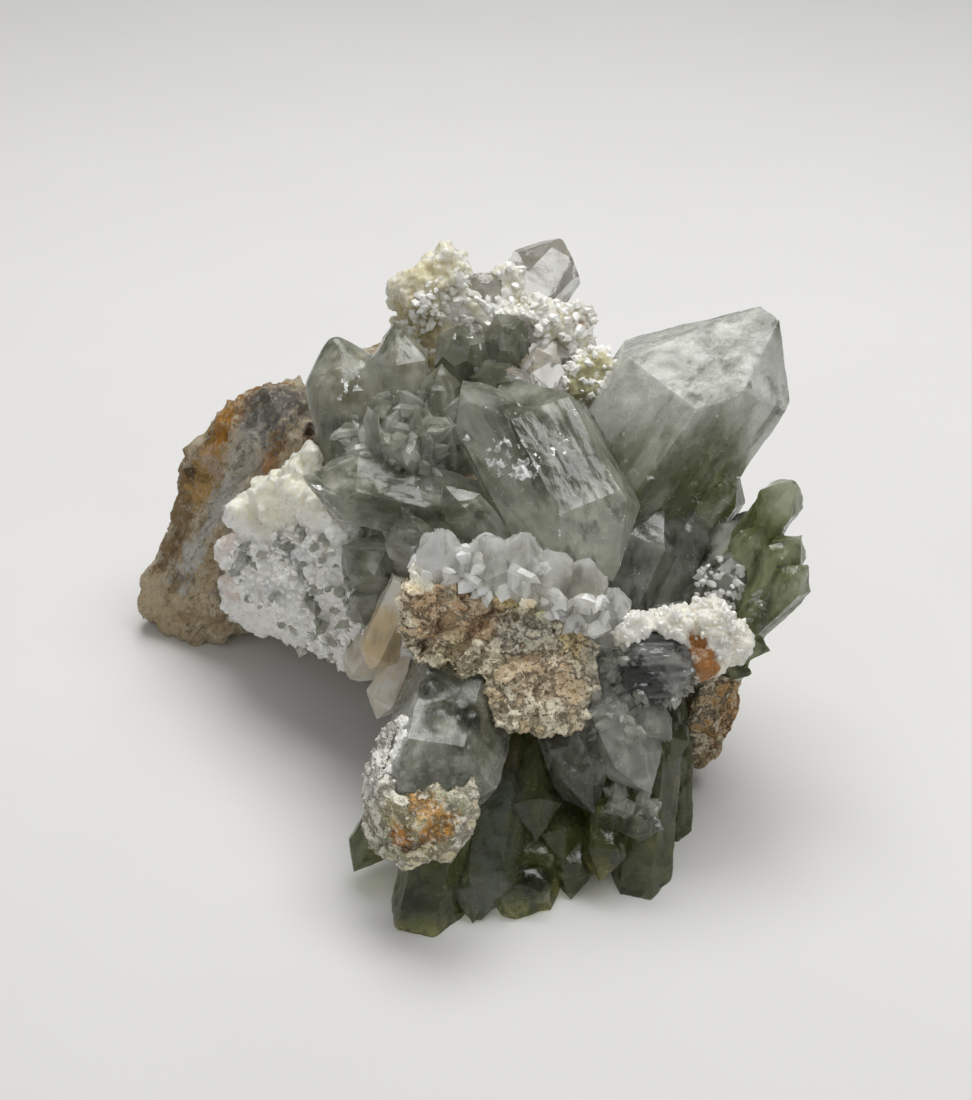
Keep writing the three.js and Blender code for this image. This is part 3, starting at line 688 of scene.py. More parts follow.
tan_material = granular_rock(
    "granular tan rock",
    (232, 208, 168),
    (250, 242, 216),
    (104, 86, 62),
    [
        stain((-3, -17.5, 36.5), 3.0, (222, 186, 146), end=(0, -19.5, 31), share=0.8, ragged=0.8),
        stain((5, -17, 36.5), 3.2, (206, 170, 132), end=(5.5, -19, 32.5), share=0.8),
        stain((1.0, -21.5, 29.5), 2.4, (216, 206, 168), end=(4, -23, 26), share=0.7),
        stain((9.5, -17.5, 36.5), 2.4, (228, 208, 118), ragged=0.8),
        stain((12.5, -18.5, 35), 2.4, (212, 208, 146), share=0.8),
        stain((9, -21, 31.5), 2.8, (214, 212, 196), end=(13, -20.5, 31), share=0.8),
        # Painted light: this pale patch brightens the right end, which the lamps reach less.
        stain((17.3, -19, 30.6), 3.0, (255, 230, 172), share=0.8, ragged=0.8),
        stain((12, -23, 27), 3.6, (240, 212, 178), share=0.7, ragged=0.8),
        stain((-5.5, -16.5, 38.0), 1.5, WHITE_RIM, end=(0.5, -16, 38.5), ragged=0.9),
        stain((1.5, -16, 38.4), 1.5, WHITE_RIM, end=(7.5, -16, 38.2), ragged=0.9),
        stain((8.5, -17, 37.6), 1.2, WHITE_RIM, end=(17.5, -17.5, 33.6), ragged=0.9),
        stain((20.5, -18, 29), 2.6, WHITE_RIM, end=(19.6, -22.5, 21), ragged=0.8),
        # Painted shade: these four dark lines follow the cracks.
        stain((0.3, -19.6, 32.6), 0.42, CRACK_PAINTED_SHADE, end=(-4.3, -20.5, 28.3), ragged=0.5),
        stain((6.2, -18.8, 33.8), 0.42, CRACK_PAINTED_SHADE, end=(1.0, -21.8, 29.2), ragged=0.5),
        stain((1.0, -21.8, 29.2), 0.35, CRACK_PAINTED_SHADE, end=(0.8, -23, 26.8), ragged=0.5),
        stain((6.5, -22.2, 29.6), 0.3, CRACK_PAINTED_SHADE, end=(12.5, -22, 29.6), ragged=0.6),
    ],
)
print("nodes in the tan material:", len(tan_material.node_tree.nodes))

# %% [markdown]
# Three low swellings give the rock its humps, nodules give it the coarse grain, and four cracks part
# it into blocks. The cracks run where the lines of painted shade are.

# %% The shape of the front tan rock
tan_rock = weathered(
    "front_tan_rock",
    "granular_tan_rock",
    GRAIN_VOXEL,
    [
        swelling((-2.5, -18, 36), 4.5, 1.2),
        swelling((5, -17.8, 36), 4.2, 1.2),
        swelling((12.5, -20, 33), 5.0, 0.6),
        lumps(3.4, 1.1),
        lumps(1.3, 0.6),
        nodules(0.85, 0.4),
        crack([(0.6, -19.3, 33.4), (-1.5, -20, 30.7), (-4.4, -20.6, 28)], 0.9, 1.5),
        crack([(6.4, -18.6, 34.2), (3.5, -20.9, 32), (0.9, -21.9, 29), (0.8, -23.4, 26.5)], 0.9, 1.5),
        crack([(6.5, -22.3, 29.6), (9.5, -22.5, 29.2), (12.5, -22, 29.6)], 0.7, 1.0),
        crack([(8.5, -18, 36), (9.5, -19.5, 33), (14, -20, 31.4)], 0.6, 0.8),
    ],
)
finish_piece(tan_rock, ["front_tan_rock"], [tan_material])

# %% [markdown]
# A crust of rock caps the end of the thick clear prism at the front. It is white where it borders the
# crystal, tan in the middle and rusty in one streak, and its specks are weaker than those of the tan
# rock.

# %% The rock cap
CAP_LAYERS = [lumps(2.6, 0.5), nodules(1.0, 0.5), lumps(0.7, 0.2)]

cap_material = granular_rock(
    "cap rock",
    (234, 224, 192),
    (250, 246, 232),
    (140, 130, 100),
    [
        stain((-8, -33, 19), 3.6, (250, 249, 244), end=(-5, -28, 24), share=0.9),
        stain((-2.5, -39.5, 16), 4.6, (216, 206, 158), ragged=0.8),
        stain((-8, -38, 12), 1.8, (160, 164, 138), end=(1, -38.5, 19), share=0.8, ragged=0.9),
        stain((-6, -40, 15), 1.5, (206, 140, 60), end=(0.5, -39.5, 16.5), share=0.92, ragged=0.7),
        stain((-2.5, -39, 19.5), 1.6, (212, 158, 84), end=(0.5, -39.5, 17), share=0.88, ragged=0.7),
        stain((-6.5, -41, 13.6), 0.5, (96, 48, 20), end=(-1, -40.6, 14.6), ragged=0.8),
    ],
    speck=0.35,
)
cap = weathered("crystal_rock_cap", "crystal_cap_rock", GRAIN_VOXEL, CAP_LAYERS)
finish_piece(cap, ["crystal_rock_cap"], [cap_material])

# %% [markdown]
# Under the right crust the vein rock is exposed edge on, and it has come apart in brown and ochre
# flakes. Lumps drawn out steeply upwards, along the flakes, stand for them.

# %% The flaky rock
FLAKE_AXIS = Vector((0.25, 0.3, 0.92)).normalized()
FLAKE_VOXEL = 0.3
FLAKES = [lumps(2.4, 1.1, FLAKE_AXIS, 0.75), lumps(0.9, 0.4, FLAKE_AXIS, 0.5)]

flaky_material = granular_rock(
    "flaky rock",
    (172, 148, 110),
    (216, 204, 180),
    (78, 66, 50),
    [
        stain((36, -11, 12), 3.4, (196, 146, 78), end=(37, -10, 18), share=0.75, ragged=0.9),
        stain((33.2, -16.5, 21), 1.8, (244, 232, 202), share=0.9, ragged=0.7),
        stain((32.2, -16.8, 18.5), 1.0, (204, 146, 70), share=0.9, ragged=0.8),
    ],
)
flaky = weathered("right_flaky_rock", "flaky_rock", FLAKE_VOXEL, FLAKES)
finish_piece(flaky, ["right_flaky_rock"], [flaky_material])

# %% [markdown]
# The crusts are druse: sugar-like quartz in small lumps, creamy where it is thick and clear where
# single points stand free. Light goes a little way into it, so it gets subsurface scattering, which
# also keeps the hollows between the lumps bright. Two sizes of grain make it sparkle.


# %% A material for druse
SPARKLE = 0.45


def druse(name, body, clear, stains):
    """The colours of the thick and the clear parts as in the picture, and stains"""
    body, clear = [srgb(*shade) for shade in (body, clear)]
    material, graph = new_material(name)
    broad = graph.use(mottle, Size=2.6, Detail=4.0, Coarseness=0.55)
    tone = graph.use(grains, output="Tone", Size=0.6)
    facets = graph.use(grains, output="Facets", Size=0.55)
    small = graph.use(grains, output="Facets", Size=0.28)
    colour = graph.mix(graph.spread(broad, 0.38, 0.66), body, clear)
    colour = stained(graph, colour, stains)
    colour = graph.mix(graph.spread(tone, 0.8, 1.0, 0, 0.5), colour, srgb(250, 250, 248))
    height = graph.math("MULTIPLY", graph.math("ADD", facets, small), SPARKLE)
    roughness = graph.spread(tone, 0.0, 0.6, 0.12, 0.5)
    finish_material(
        graph,
        colour,
        roughness,
        height=height,
        Subsurface_Weight=0.6,
        Subsurface_Scale=1.5 * MM,
        Subsurface_Radius=(1.0, 0.95, 0.85),
    )
    return material


print("grains from 0.28 to 0.6 mm, sparkle:", SPARKLE)

# %% [markdown]
# The left crust hangs over the edge of the slab down to the arch. Its upper end is a thick cream lump,
# and below it turns into clear points with hollows between them, one darkened by a grey patch of
# painted shade. Nodules of two sizes make the lumps.

# %% The left crust
LEFT_CRUST_VOXEL = 0.33

left_crust_material = druse(
    "cream and clear druse",
    (250, 248, 240),
    (244, 243, 240),
    [
        stain((-25, 12, 34), 6.5, (255, 249, 228), end=(-20, 7, 39), share=0.95),
        # Painted shade: grey in a hollow between the clear points.
        stain((-22, 7.5, 27), 2.2, (176, 180, 180), end=(-19.5, 6.5, 25), share=0.75, ragged=0.9),
        stain((-30, 17, 24), 2.6, (214, 198, 186), end=(-31, 18, 14), share=0.7),
        stain((-27.5, 12.5, 28.5), 0.8, (150, 104, 52), ragged=0.6),
    ],
)
left_crust = weathered(
    "left_white_crust",
    "left_druse_crust",
    LEFT_CRUST_VOXEL,
    [lumps(4.0, 0.8), nodules(2.4, 1.0), nodules(1.0, 0.6)],
)
finish_piece(left_crust, ["left_white_crust"], [left_crust_material])

# %% [markdown]
# The right crust is a row of cream nodules with a streak of rust that runs down over its front. The
# rust is three stains end to end, darker as they go down, and a swelling lifts the blob in its
# middle.

# %% The right crust
RIGHT_NODULES = [
    swelling((32.5, -20.5, 26), 3.2, 1.6),
    lumps(3.0, 0.6),
    nodules(1.5, 0.8),
    nodules(0.7, 0.3),
]

right_crust_material = druse(
    "nodular cream crust",
    (248, 242, 226),
    (240, 238, 230),
    [
        stain((31.6, -16.5, 31.5), 0.9, (196, 146, 60), end=(32, -19, 29), share=0.9, ragged=0.9),
        stain((32, -19, 29), 1.4, (168, 108, 38), end=(33.4, -21, 26.5), share=0.9, ragged=0.8),
        stain((33.4, -21.5, 27.5), 2.0, (160, 106, 44), end=(32.4, -21, 22), share=0.95, ragged=0.5),
    ],
)
right_crust = weathered("right_white_crust", "right_nodular_crust", GRAIN_VOXEL, RIGHT_NODULES)
finish_piece(right_crust, ["right_white_crust"], [right_crust_material])

# %% [markdown]
# The top crust lies round the feet of the top crystals: yellowish lumps at the left, sparkling white
# ground in the middle, a green lump at the right and one pink grain.

# %% The top crust
TOP_CRUST_VOXEL = 0.28
TOP_LUMPS = [
    swelling((23, 20, 44), 7.0, 0.8),
    lumps(3.0, 0.6),
    nodules(1.7, 0.9),
    nodules(0.8, 0.4),
]

top_crust_material = druse(
    "yellowish top crust",
    (236, 230, 206),
    (246, 244, 236),
    [
        stain((-2.5, 22.5, 60.5), 3.0, (216, 206, 164), share=0.7, ragged=0.8),
        stain((-4, 21, 56), 3.4, (196, 178, 126), end=(-3, 22, 50), share=0.8),
        stain((19.3, 12.8, 52), 3.4, (178, 172, 122), end=(19, 12, 48)),
        stain((18.4, 19, 56), 1.3, (216, 182, 164), share=0.9),
    ],
)
top_crust = weathered("top_crust", "top_lump_crust", TOP_CRUST_VOXEL, TOP_LUMPS)
finish_piece(top_crust, ["top_crust"], [top_crust_material])

# %% [markdown]
# Quartz is clear, but this quartz is full of fine fluid veils and chlorite, so only part of the light
# goes straight through. Each quartz material is a Principled BSDF with a plain Transmission Weight
# for the clear part. The cloudy rest scatters light under the surface. Its colour runs from milky to
# chlorite green, in streaks along the crystal, because the veils were caught while it grew that way.
# A real crystal passes lamp light on to what lies behind it. The path tracer can't find those paths,
# so to a shadow ray the material is partly clear, and quartz casts only a part of a shadow.


# %% A material for quartz
QUARTZ_IOR = 1.54
WHITE = (250, 250, 247)
DEEP_GREY = (112, 115, 98)
GREEN_TINT = srgb(206, 214, 186)


def quartz(
    name,
    body,
    cloud,
    deep=DEEP_GREY,
    clear=0.7,
    stains=(),
    polish=0.05,
    axis=(0, 0, 1),
    density=0.0,
    glow=2.0,
    passing=0.65,
    wispy=0.4,
    etched=1.0,
    shine=0.5,
):
    """Body, cloud and deep are colours as in the picture. clear is the transmission, polish the
    roughness of the smoothest part, axis the growth, density how much green is absorbed, glow how far
    light scatters in mm, passing how much of a shadow ray gets through, wispy the strength of the
    white veils, etched the height of the relief and shine the strength of the reflections"""
    body, cloud, deep, white = [srgb(*shade) for shade in (body, cloud, deep, WHITE)]
    material, graph = new_material(name)
    broad = graph.use(mottle, Size=5.0, Detail=3.0, Coarseness=0.55)
    streaks = graph.use(mottle, Size=2.4, Detail=4.0, Coarseness=0.62, Axis=axis, Drawn_Out=0.8)
    wisps = graph.use(mottle, Size=1.1, Detail=4.0, Coarseness=0.7)
    colour = graph.mix(graph.spread(broad, 0.38, 0.62), body, cloud)
    colour = stained(graph, colour, stains)
    colour = graph.mix(graph.spread(streaks, 0.5, 0.34, 0, 0.7), colour, deep)
    colour = graph.mix(graph.spread(streaks, 0.52, 0.7, 0, 0.5), colour, cloud)
    colour = graph.mix(graph.spread(wisps, 0.56, 0.72, 0, wispy), colour, white)
    roughness = graph.spread(wisps, 0.45, 0.75, polish, polish + 0.25)
    height = graph.math("ADD", graph.math("MULTIPLY", streaks, 0.2), graph.math("MULTIPLY", wisps, 0.08))
    height = graph.math("MULTIPLY", height, etched)
    alpha = None
    if passing:
        shadow_ray = graph.add("ShaderNodeLightPath", output=1)
        alpha = graph.math("SUBTRACT", 1.0, graph.math("MULTIPLY", shadow_ray, passing))
    finish_material(
        graph,
        colour,
        roughness,
        height=height,
        alpha=alpha,
        absorption=(GREEN_TINT, density) if density else None,
        IOR=QUARTZ_IOR,
        Specular_IOR_Level=shine,
        Transmission_Weight=clear,
        Subsurface_Weight=1.0 if glow else 0.0,
        Subsurface_Scale=glow * MM,
        Subsurface_Radius=(1.0, 1.0, 1.0),
    )
    return material


print("index of refraction of quartz:", QUARTZ_IOR)

# %% [markdown]
# The streaks in a crystal run along the way it grew, so each group of crystals gets its axis, read
# off the solids. The left and the back crystals are the same grey green quartz, with a few darker
# places where chlorite lies below the face.

# %% Axes of growth and the grey green quartz
GREY_GREEN = (158, 160, 140)
MILKY = (212, 213, 202)
UPWARD = Vector((0, 0, 1))
CENTRE_AXIS = Vector((0.44, -0.68, -0.58)).normalized()
LARGE_AXIS = Vector((0.5, 0.17, 0.81)).normalized()
LYING_AXIS = Vector((-0.93, -0.15, 0.34)).normalized()
CAPPED_AXIS = Vector((-0.19, -0.96, -0.22)).normalized()

lying_quartz = quartz(
    "grey green quartz",
    GREY_GREEN,
    MILKY,
    axis=LYING_AXIS,
    density=20,
    stains=[stain((-6, -2, 41.5), 4.0, (118, 122, 100), end=(2, -8, 39.5), share=0.7, softness=0.7)],
)
back_quartz = quartz(
    "etched grey quartz",
    GREY_GREEN,
    MILKY,
    axis=UPWARD,
    density=20,
    stains=[stain((-14.7, 9.5, 44.5), 2.6, (66, 78, 54), share=0.9, softness=0.6)],
)
print("grey green materials:", lying_quartz.name, "and", back_quartz.name)

# %% [markdown]
# The two largest crystals carry the picture. The centre one is cloudy grey, with painted shade for a
# dark hollow behind its upper face. The one at the right is milky above and chlorite green below. Each
# zone is a stain with a soft edge, because fluid veils fade out and have no outline.

# %% The quartz of the two large crystals
centre_quartz = quartz(
    "centre quartz",
    (146, 149, 132),
    (198, 200, 188),
    axis=CENTRE_AXIS,
    clear=0.62,
    stains=[
        stain((20, -9.5, 40), 6.5, (222, 224, 214), share=0.9, softness=0.7),
        # Painted shade: the dark hollow behind the upper face.
        stain((9, 0, 49), 4.2, (92, 96, 82), end=(16, -5, 45.5), share=0.9, softness=0.7),
        stain((3, 3, 52), 1.8, (208, 210, 200), end=(8, -6, 45), share=0.8, softness=0.6),
    ],
    density=15,
)
large_quartz = quartz(
    "milky and chlorite quartz",
    (186, 189, 178),
    (224, 225, 218),
    clear=0.55,
    axis=LARGE_AXIS,
    polish=0.14,
    etched=0.5,
    shine=0.32,
    stains=[
        stain((22, 6, 49), 5.5, (232, 232, 226), end=(33, 9, 55), softness=0.8),
        stain((24, 2, 43), 4.5, (128, 134, 108), end=(38, 3, 45), softness=0.7),
        stain((26, 0, 38), 5.5, (112, 120, 84), end=(37, 2, 40), share=0.92, softness=0.6),
        stain((36.5, 1.5, 38), 3.6, (104, 114, 66), share=0.92, softness=0.6),
        stain((41.5, 5.5, 45), 3.4, (248, 249, 246), end=(43, 7, 55), share=0.9, softness=0.6),
    ],
    density=15,
)
print("large crystals:", centre_quartz.name, "and", large_quartz.name)

# %% [markdown]
# The rest of the upper crystals differ in how clear they are. The tall one on top is like glass, its
# neighbours are smoky, the prism at the front is dim and frosted, with painted shadow where the tan rock
# shades it, and the ones in the middle are dark, because one looks through them into the shade.

# %% Clear, smoky, frosted and dark quartz
clear_quartz = quartz(
    "clear quartz",
    WHITE,
    WHITE,
    deep=(206, 208, 202),
    clear=0.92,
    glow=1.0,
    polish=0.03,
)
smoky_quartz = quartz(
    "smoky quartz", (146, 149, 122), (194, 195, 178), deep=(100, 104, 80), clear=0.62, density=40
)
capped_quartz = quartz(
    "capped crystal quartz",
    (128, 130, 114),
    (190, 191, 180),
    axis=CAPPED_AXIS,
    polish=0.2,
    shine=0.12,
    stains=[
        stain((-6, -28, 23), 4.6, (244, 244, 240), end=(-9, -35, 17), share=0.95),
        # Painted shadow: the tan rock shades this part of the prism.
        stain((2, -28, 26.5), 3.4, (92, 95, 80), softness=0.6),
        stain((-1.5, -25, 27.5), 2.1, (52, 58, 44), share=0.92, ragged=0.1),
        stain((3.9, -29.8, 25.8), 2.1, (48, 54, 40), share=0.92, ragged=0.1),
    ],
    density=15,
)
dark_quartz = quartz(
    "dark quartz", (128, 131, 118), (200, 201, 192), deep=(66, 69, 58), clear=0.68, density=35
)
print("clear to dark:", clear_quartz.name, smoky_quartz.name, capped_quartz.name, dark_quartz.name)

# %% [markdown]
# Chlorite colours the fingers at the right and the crystals that the front stands on. In the foot it
# is so dense that they look olive to black, so their glass absorbs much light. Bright patches of
# painted light stand where light comes up from the floor through a thin edge.

# %% Chlorite quartz
olive_quartz = quartz(
    "chlorite quartz",
    (112, 120, 72),
    (176, 181, 142),
    deep=(58, 66, 30),
    clear=0.55,
    wispy=0.25,
    stains=[
        stain((47, -8, 40), 3.4, (216, 220, 198), end=(45, -5, 45), softness=0.7),
        stain((46.5, -15, 35), 2.4, (220, 222, 200), softness=0.7),
    ],
    density=30,
)
foot_quartz = quartz(
    "chlorite foot quartz",
    (124, 128, 80),
    (158, 162, 106),
    deep=(82, 87, 48),
    clear=0.85,
    polish=0.12,
    wispy=0.05,
    etched=0.5,
    shine=0.15,
    stains=[
        stain((7, -28, 12), 3.2, (170, 178, 176), end=(5.5, -37, 4), share=0.9, softness=0.6),
        stain((-3, -39.5, 3), 2.0, (112, 124, 62), share=0.8, softness=0.7),
        # Painted light from the floor through a thin edge.
        stain((13, -35.5, 1.5), 2.2, (222, 228, 138), end=(9, -38.5, 1), softness=0.7),
        stain((16, -26, 12), 4.0, (66, 70, 56), share=0.8, softness=0.7),
        stain((8, -27, 17), 1.8, (168, 140, 104), softness=0.6),
        stain((12, -35.5, 6), 2.8, (60, 66, 34), share=0.95, softness=0.4),
        # Painted light from the floor through a thin edge.
        stain((-6, -41, 0), 2.0, (214, 220, 132), end=(2, -41, 0), softness=0.9),
        # Painted light from the floor through a thin edge.
        stain((20, -35, 4.5), 2.2, (214, 212, 130), softness=0.6),
        stain((26, -31.5, 11), 2.6, (214, 218, 210), softness=0.6),
    ],
    density=110,
)
print("chlorite quartz:", olive_quartz.name, "and", foot_quartz.name)

# %% [markdown]
# The pale crystals are milky nearly all through: the row behind the tan rock, the group under it and
# the peach prism that hangs from the arch.

# %% Pale and peach quartz
pale_quartz = quartz(
    "pale quartz",
    (222, 223, 216),
    WHITE,
    deep=(164, 165, 156),
    clear=0.5,
    stains=[stain((17, -18, 35.5), 3.4, (186, 182, 164), share=0.8, softness=0.7)],
)
mid_quartz = quartz(
    "mid pale quartz",
    (196, 198, 190),
    (240, 240, 235),
    deep=(130, 133, 120),
    clear=0.78,
    density=10,
    stains=[stain((15, -27, 17.5), 3.8, (84, 88, 70), end=(17.5, -30, 12), share=0.92, softness=0.5)],
)
peach_quartz = quartz(
    "peach and white quartz",
    (238, 230, 214),
    (248, 244, 236),
    deep=(196, 184, 156),
    clear=0.35,
    stains=[stain((-8.4, -9.5, 25), 3.2, (226, 202, 156), end=(-9.4, -9, 19))],
)
print("pale quartz:", pale_quartz.name, mid_quartz.name, peach_quartz.name)

# %% [markdown]
# Points of under a millimetre read as white sugar, so the druse points and the cream grains are
# solid white with no clear part. The larger small points are see-through like the crystals.

# %% The quartz of the small points
SUGAR = {"clear": 0.0, "glow": 0.0, "passing": 0.0}

points_quartz = quartz("druse points", (250, 249, 243), WHITE, deep=(238, 235, 224), **SUGAR)
cream_points = quartz("cream grains", (250, 240, 214), (252, 248, 234), deep=(236, 218, 180), **SUGAR)
pale_points = quartz("pale points", (244, 244, 238), WHITE, deep=(206, 207, 198), clear=0.4, glow=0.6)
glass_points = quartz(
    "clear points",
    (200, 202, 188),
    (232, 233, 226),
    deep=(134, 137, 120),
    clear=0.75,
    glow=0.3,
)
print("materials so far:", len(bpy.data.materials))

# %% [markdown]
# Inside a crystal a fracture is a thin gap of air, and it throws light back like a crumpled mirror.
# The same silver look covers the chips along worn edges. It is a material of its own, with coarse
# facets in its relief, so that a few of them flash and their neighbours stay grey.

# %% Fractures and chips
material, graph = new_material("fracture mirrors")
tone = graph.use(grains, output="Tone", Size=0.55)
facets = graph.use(grains, output="Facets", Size=0.9)
small = graph.use(grains, output="Facets", Size=0.4)
colour = graph.mix(graph.spread(tone, 0.2, 0.7), srgb(168, 172, 166), srgb(*WHITE))
height = graph.math("ADD", facets, small)
finish_material(graph, colour, 0.12, height=height, Specular_IOR_Level=1.0, Coat_Weight=0.5)
fracture = material

material, graph = new_material("chipped edges")
tone = graph.use(grains, output="Tone", Size=0.4)
colour = graph.mix(tone, srgb(176, 180, 170), srgb(*WHITE))
finish_material(
    graph,
    colour,
    0.2,
    height=graph.use(grains, output="Facets", Size=0.5),
    Subsurface_Weight=0.5,
    Subsurface_Scale=0.5 * MM,
    Subsurface_Radius=(1.0, 1.0, 0.9),
)
chipped = material
print("fracture and chip materials:", fracture.name, "and", chipped.name)

# %% [markdown]
# A crystal keeps its facets, but none of them is a perfect plane: growth left ridges along the
# crystal and low steps. A remesh that keeps sharp edges makes a fine mesh for them. A voxel remesh
# would round the edges, which only solution does in nature. One crystal of the specimen is eaten
# round like that, and round_off smooths it.


# %% Crystals with uneven faces
CRISP_ANGLE = 22


def crisp(node, name, depth, layers):
    """The node's crystals with an even mesh that keeps their edges, lifted by the layers"""
    settings = {"mode": "SHARP", "octree_depth": depth, "use_remove_disconnected": False}
    piece = even_mesh(node, name, **settings)
    push_out(piece, layers)
    piece.data.set_sharp_from_angle(angle=math.radians(CRISP_ANGLE))
    return piece


def round_off(piece, centre, radius, turns):
    """Smooths the part of a crystal that solution has eaten round"""
    work = bmesh.new()
    work.from_mesh(piece.data)
    middle = Vector(centre) * MM
    inside = [corner for corner in work.verts if (corner.co - middle).length < radius * MM]
    every_way = {"use_axis_x": True, "use_axis_y": True, "use_axis_z": True}
    for _ in range(turns):
        bmesh.ops.smooth_vert(work, verts=inside, factor=0.5, **every_way)
    work.to_mesh(piece.data)
    work.free()


print("edges sharper than", CRISP_ANGLE, "degrees stay sharp")

# %% [markdown]
# Knocks have chipped the edges of the crystals, but not along their whole length. So the chipped
# material goes where two things hold: the surface bends sharply, and a noise says that this length
# of the edge was hit.


# %% Worn edges
CHIP_BEND = 0.1
CHIP_SIZE = 1.8
CHIP_RARITY = 0.2


def bend_of(mesh):
    """How sharply the surface bends at every corner: nothing on a flat face"""
    normals = corners_of(mesh)[1]
    ends = np.empty(len(mesh.edges) * 2, int)
    mesh.edges.foreach_get("vertices", ends)
    first, second = ends.reshape(-1, 2).T
    turn = 1 - np.sum(normals[first] * normals[second], axis=1)
    bend = np.zeros(len(mesh.vertices))
    np.maximum.at(bend, first, turn)
    np.maximum.at(bend, second, turn)
    return bend


def patch_faces(piece, index, chosen):
    """Gives the material of that index to faces whose corners are all chosen"""
    mesh = piece.data
    for polygon in mesh.polygons:
        if all(chosen[corner] for corner in polygon.vertices):
            polygon.material_index = index


def chip_edges(piece, index):
    places = corners_of(piece.data)[0]
    luck = np.array([noise.noise(Vector(place) / CHIP_SIZE) for place in places])
    patch_faces(piece, index, (bend_of(piece.data) > CHIP_BEND) & (luck > CHIP_RARITY))


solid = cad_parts["centre_crystal"].data
print("corners of the plain centre crystal that bend:", int((bend_of(solid) > CHIP_BEND).sum()))

# %% [markdown]
# The bright silver patches in the crystals are fractures just under the face. Each is placed where
# the photograph shows it, as a spot with a ragged outline. The higher its last value, the more it
# falls apart into splinters.


# %% Fracture patches
SPLINTER_SIZE = 0.9
FRACTURES = {
    "centre_crystal": [
        ((7.0, -3.2, 47.4), 1.7, -0.3),
        ((10, -4.8, 46.2), 1.5, -0.3),
        ((14.5, -2.6, 48.4), 1.1, 0.1),
        ((2.0, 0.5, 48.0), 1.0, 0.1),
    ],
    "large_right_crystal": [((23.7, 4.6, 46.9), 0.8, 0.0), ((35.5, 2.5, 50.2), 0.9, 0.1)],
    "left_lying_crystals": [((-14.5, -3, 42), 2.0, 0.15), ((-3.1, -2, 41.5), 0.9, 0.1)],
    "back_left_crystals": [((-5.8, 9.5, 50), 1.2, 0.1), ((-12, 9, 51), 1.6, 0.2)],
    "top_crystals": [((12, 18, 56), 2.0, 0.1), ((3, 16, 57), 2.4, 0.15), ((5, 14.5, 53), 1.8, 0.15)],
    "dark_middle_crystals": [((31, -6, 34), 1.6, 0.1), ((33.5, -7, 32), 1.4, 0.1)],
    "capped_front_crystal": [((3, -33, 22), 1.2, 0.1)],
}


def crack_open(piece, index, spots):
    """Fracture patches: each spot is a centre, a radius and how broken up it is, in mm"""
    places = corners_of(piece.data)[0]
    chosen = np.zeros(len(places), bool)
    for centre, radius, broken in spots:
        reach = np.linalg.norm(places - np.array(centre), axis=1)
        for i in np.flatnonzero(reach < 2 * radius):
            ragged = noise.fractal(Vector(places[i]) / SPLINTER_SIZE, 1.0, 2.0, 3)
            chosen[i] |= reach[i] / radius - 2.0 * ragged < 1 and ragged > broken
    patch_faces(piece, index, chosen)


print("fracture spots:", sum(len(spots) for spots in FRACTURES.values()))

# %% [markdown]
# Some faces are more than uneven. The thick prism at the front has two round drops on it, and its
# upper face and the large face of one foot crystal are a little domed. Low swellings make all of
# these. A flat face would mirror a lamp as a bright rectangle, which the photograph doesn't show.

# %% Domed faces
DROPS = {
    "front_foot_crystals": [swelling((11.6, -35, 4.1), 3.8, 1.3), swelling((14.5, -33, 6), 2.5, 0.8)],
    "capped_front_crystal": [
        swelling((-1.5, -25, 27), 2.4, 1.2),
        swelling((3.9, -29.8, 25.2), 2.4, 1.2),
        swelling((0, -29.5, 25.6), 3.0, 0.8),
    ],
}
print("groups with domed faces:", list(DROPS))

# %% [markdown]
# All thirteen groups of crystals are now made alike. The table gives each its node, its name, how fine
# its mesh is, its quartz, its axis, how uneven it is and its finish. The two large crystals get the
# finest mesh and the chipped edges, because the eye rests on them.

# %% The crystal groups
FINE = 7
PLAIN = 6
CHIPPED_INDEX = 1
FRACTURE_INDEX = 2
EATEN_ROUND = ((-14.8, 15, 49), 8.5, 40)
CRYSTALS = [
    ("centre_crystal", "centre_quartz", FINE, centre_quartz, CENTRE_AXIS, 0.8, "grey_green_quartz"),
    ("large_right_crystal", "large_right_quartz", FINE, large_quartz, LARGE_AXIS, 0.5, "milky_quartz"),
    ("top_crystals", "top_quartz", PLAIN, clear_quartz, UPWARD, 0.6, "clear_quartz"),
    ("left_lying_crystals", "left_lying_quartz", PLAIN, lying_quartz, LYING_AXIS, 1.2, "grey_green_quartz"),
    ("back_left_crystals", "back_left_quartz", PLAIN, back_quartz, UPWARD, 1.2, "grey_green_quartz"),
    ("dark_middle_crystals", "dark_middle_quartz", PLAIN, dark_quartz, UPWARD, 0.8, "dark_quartz"),
    ("right_finger_crystals", "right_finger_quartz", PLAIN, olive_quartz, LARGE_AXIS, 1.2, "chlorite_quartz"),
    ("capped_front_crystal", "capped_front_quartz", PLAIN, capped_quartz, CAPPED_AXIS, 1.0, "clear_quartz"),
    ("front_foot_crystals", "front_foot_quartz", PLAIN, foot_quartz, UPWARD, 1.0, "chlorite_quartz"),
    ("right_foot_crystals", "right_foot_quartz", PLAIN, foot_quartz, UPWARD, 1.0, "chlorite_quartz"),
    ("mid_pale_crystals", "mid_pale_quartz", PLAIN, mid_quartz, UPWARD, 0.8, "milky_quartz"),
    ("pale_front_points", "pale_front_quartz", PLAIN, pale_quartz, UPWARD, 2.2, "milky_quartz"),
    ("pendant_points", "pendant_quartz", PLAIN, peach_quartz, UPWARD, 0.8, "peach_quartz"),
]

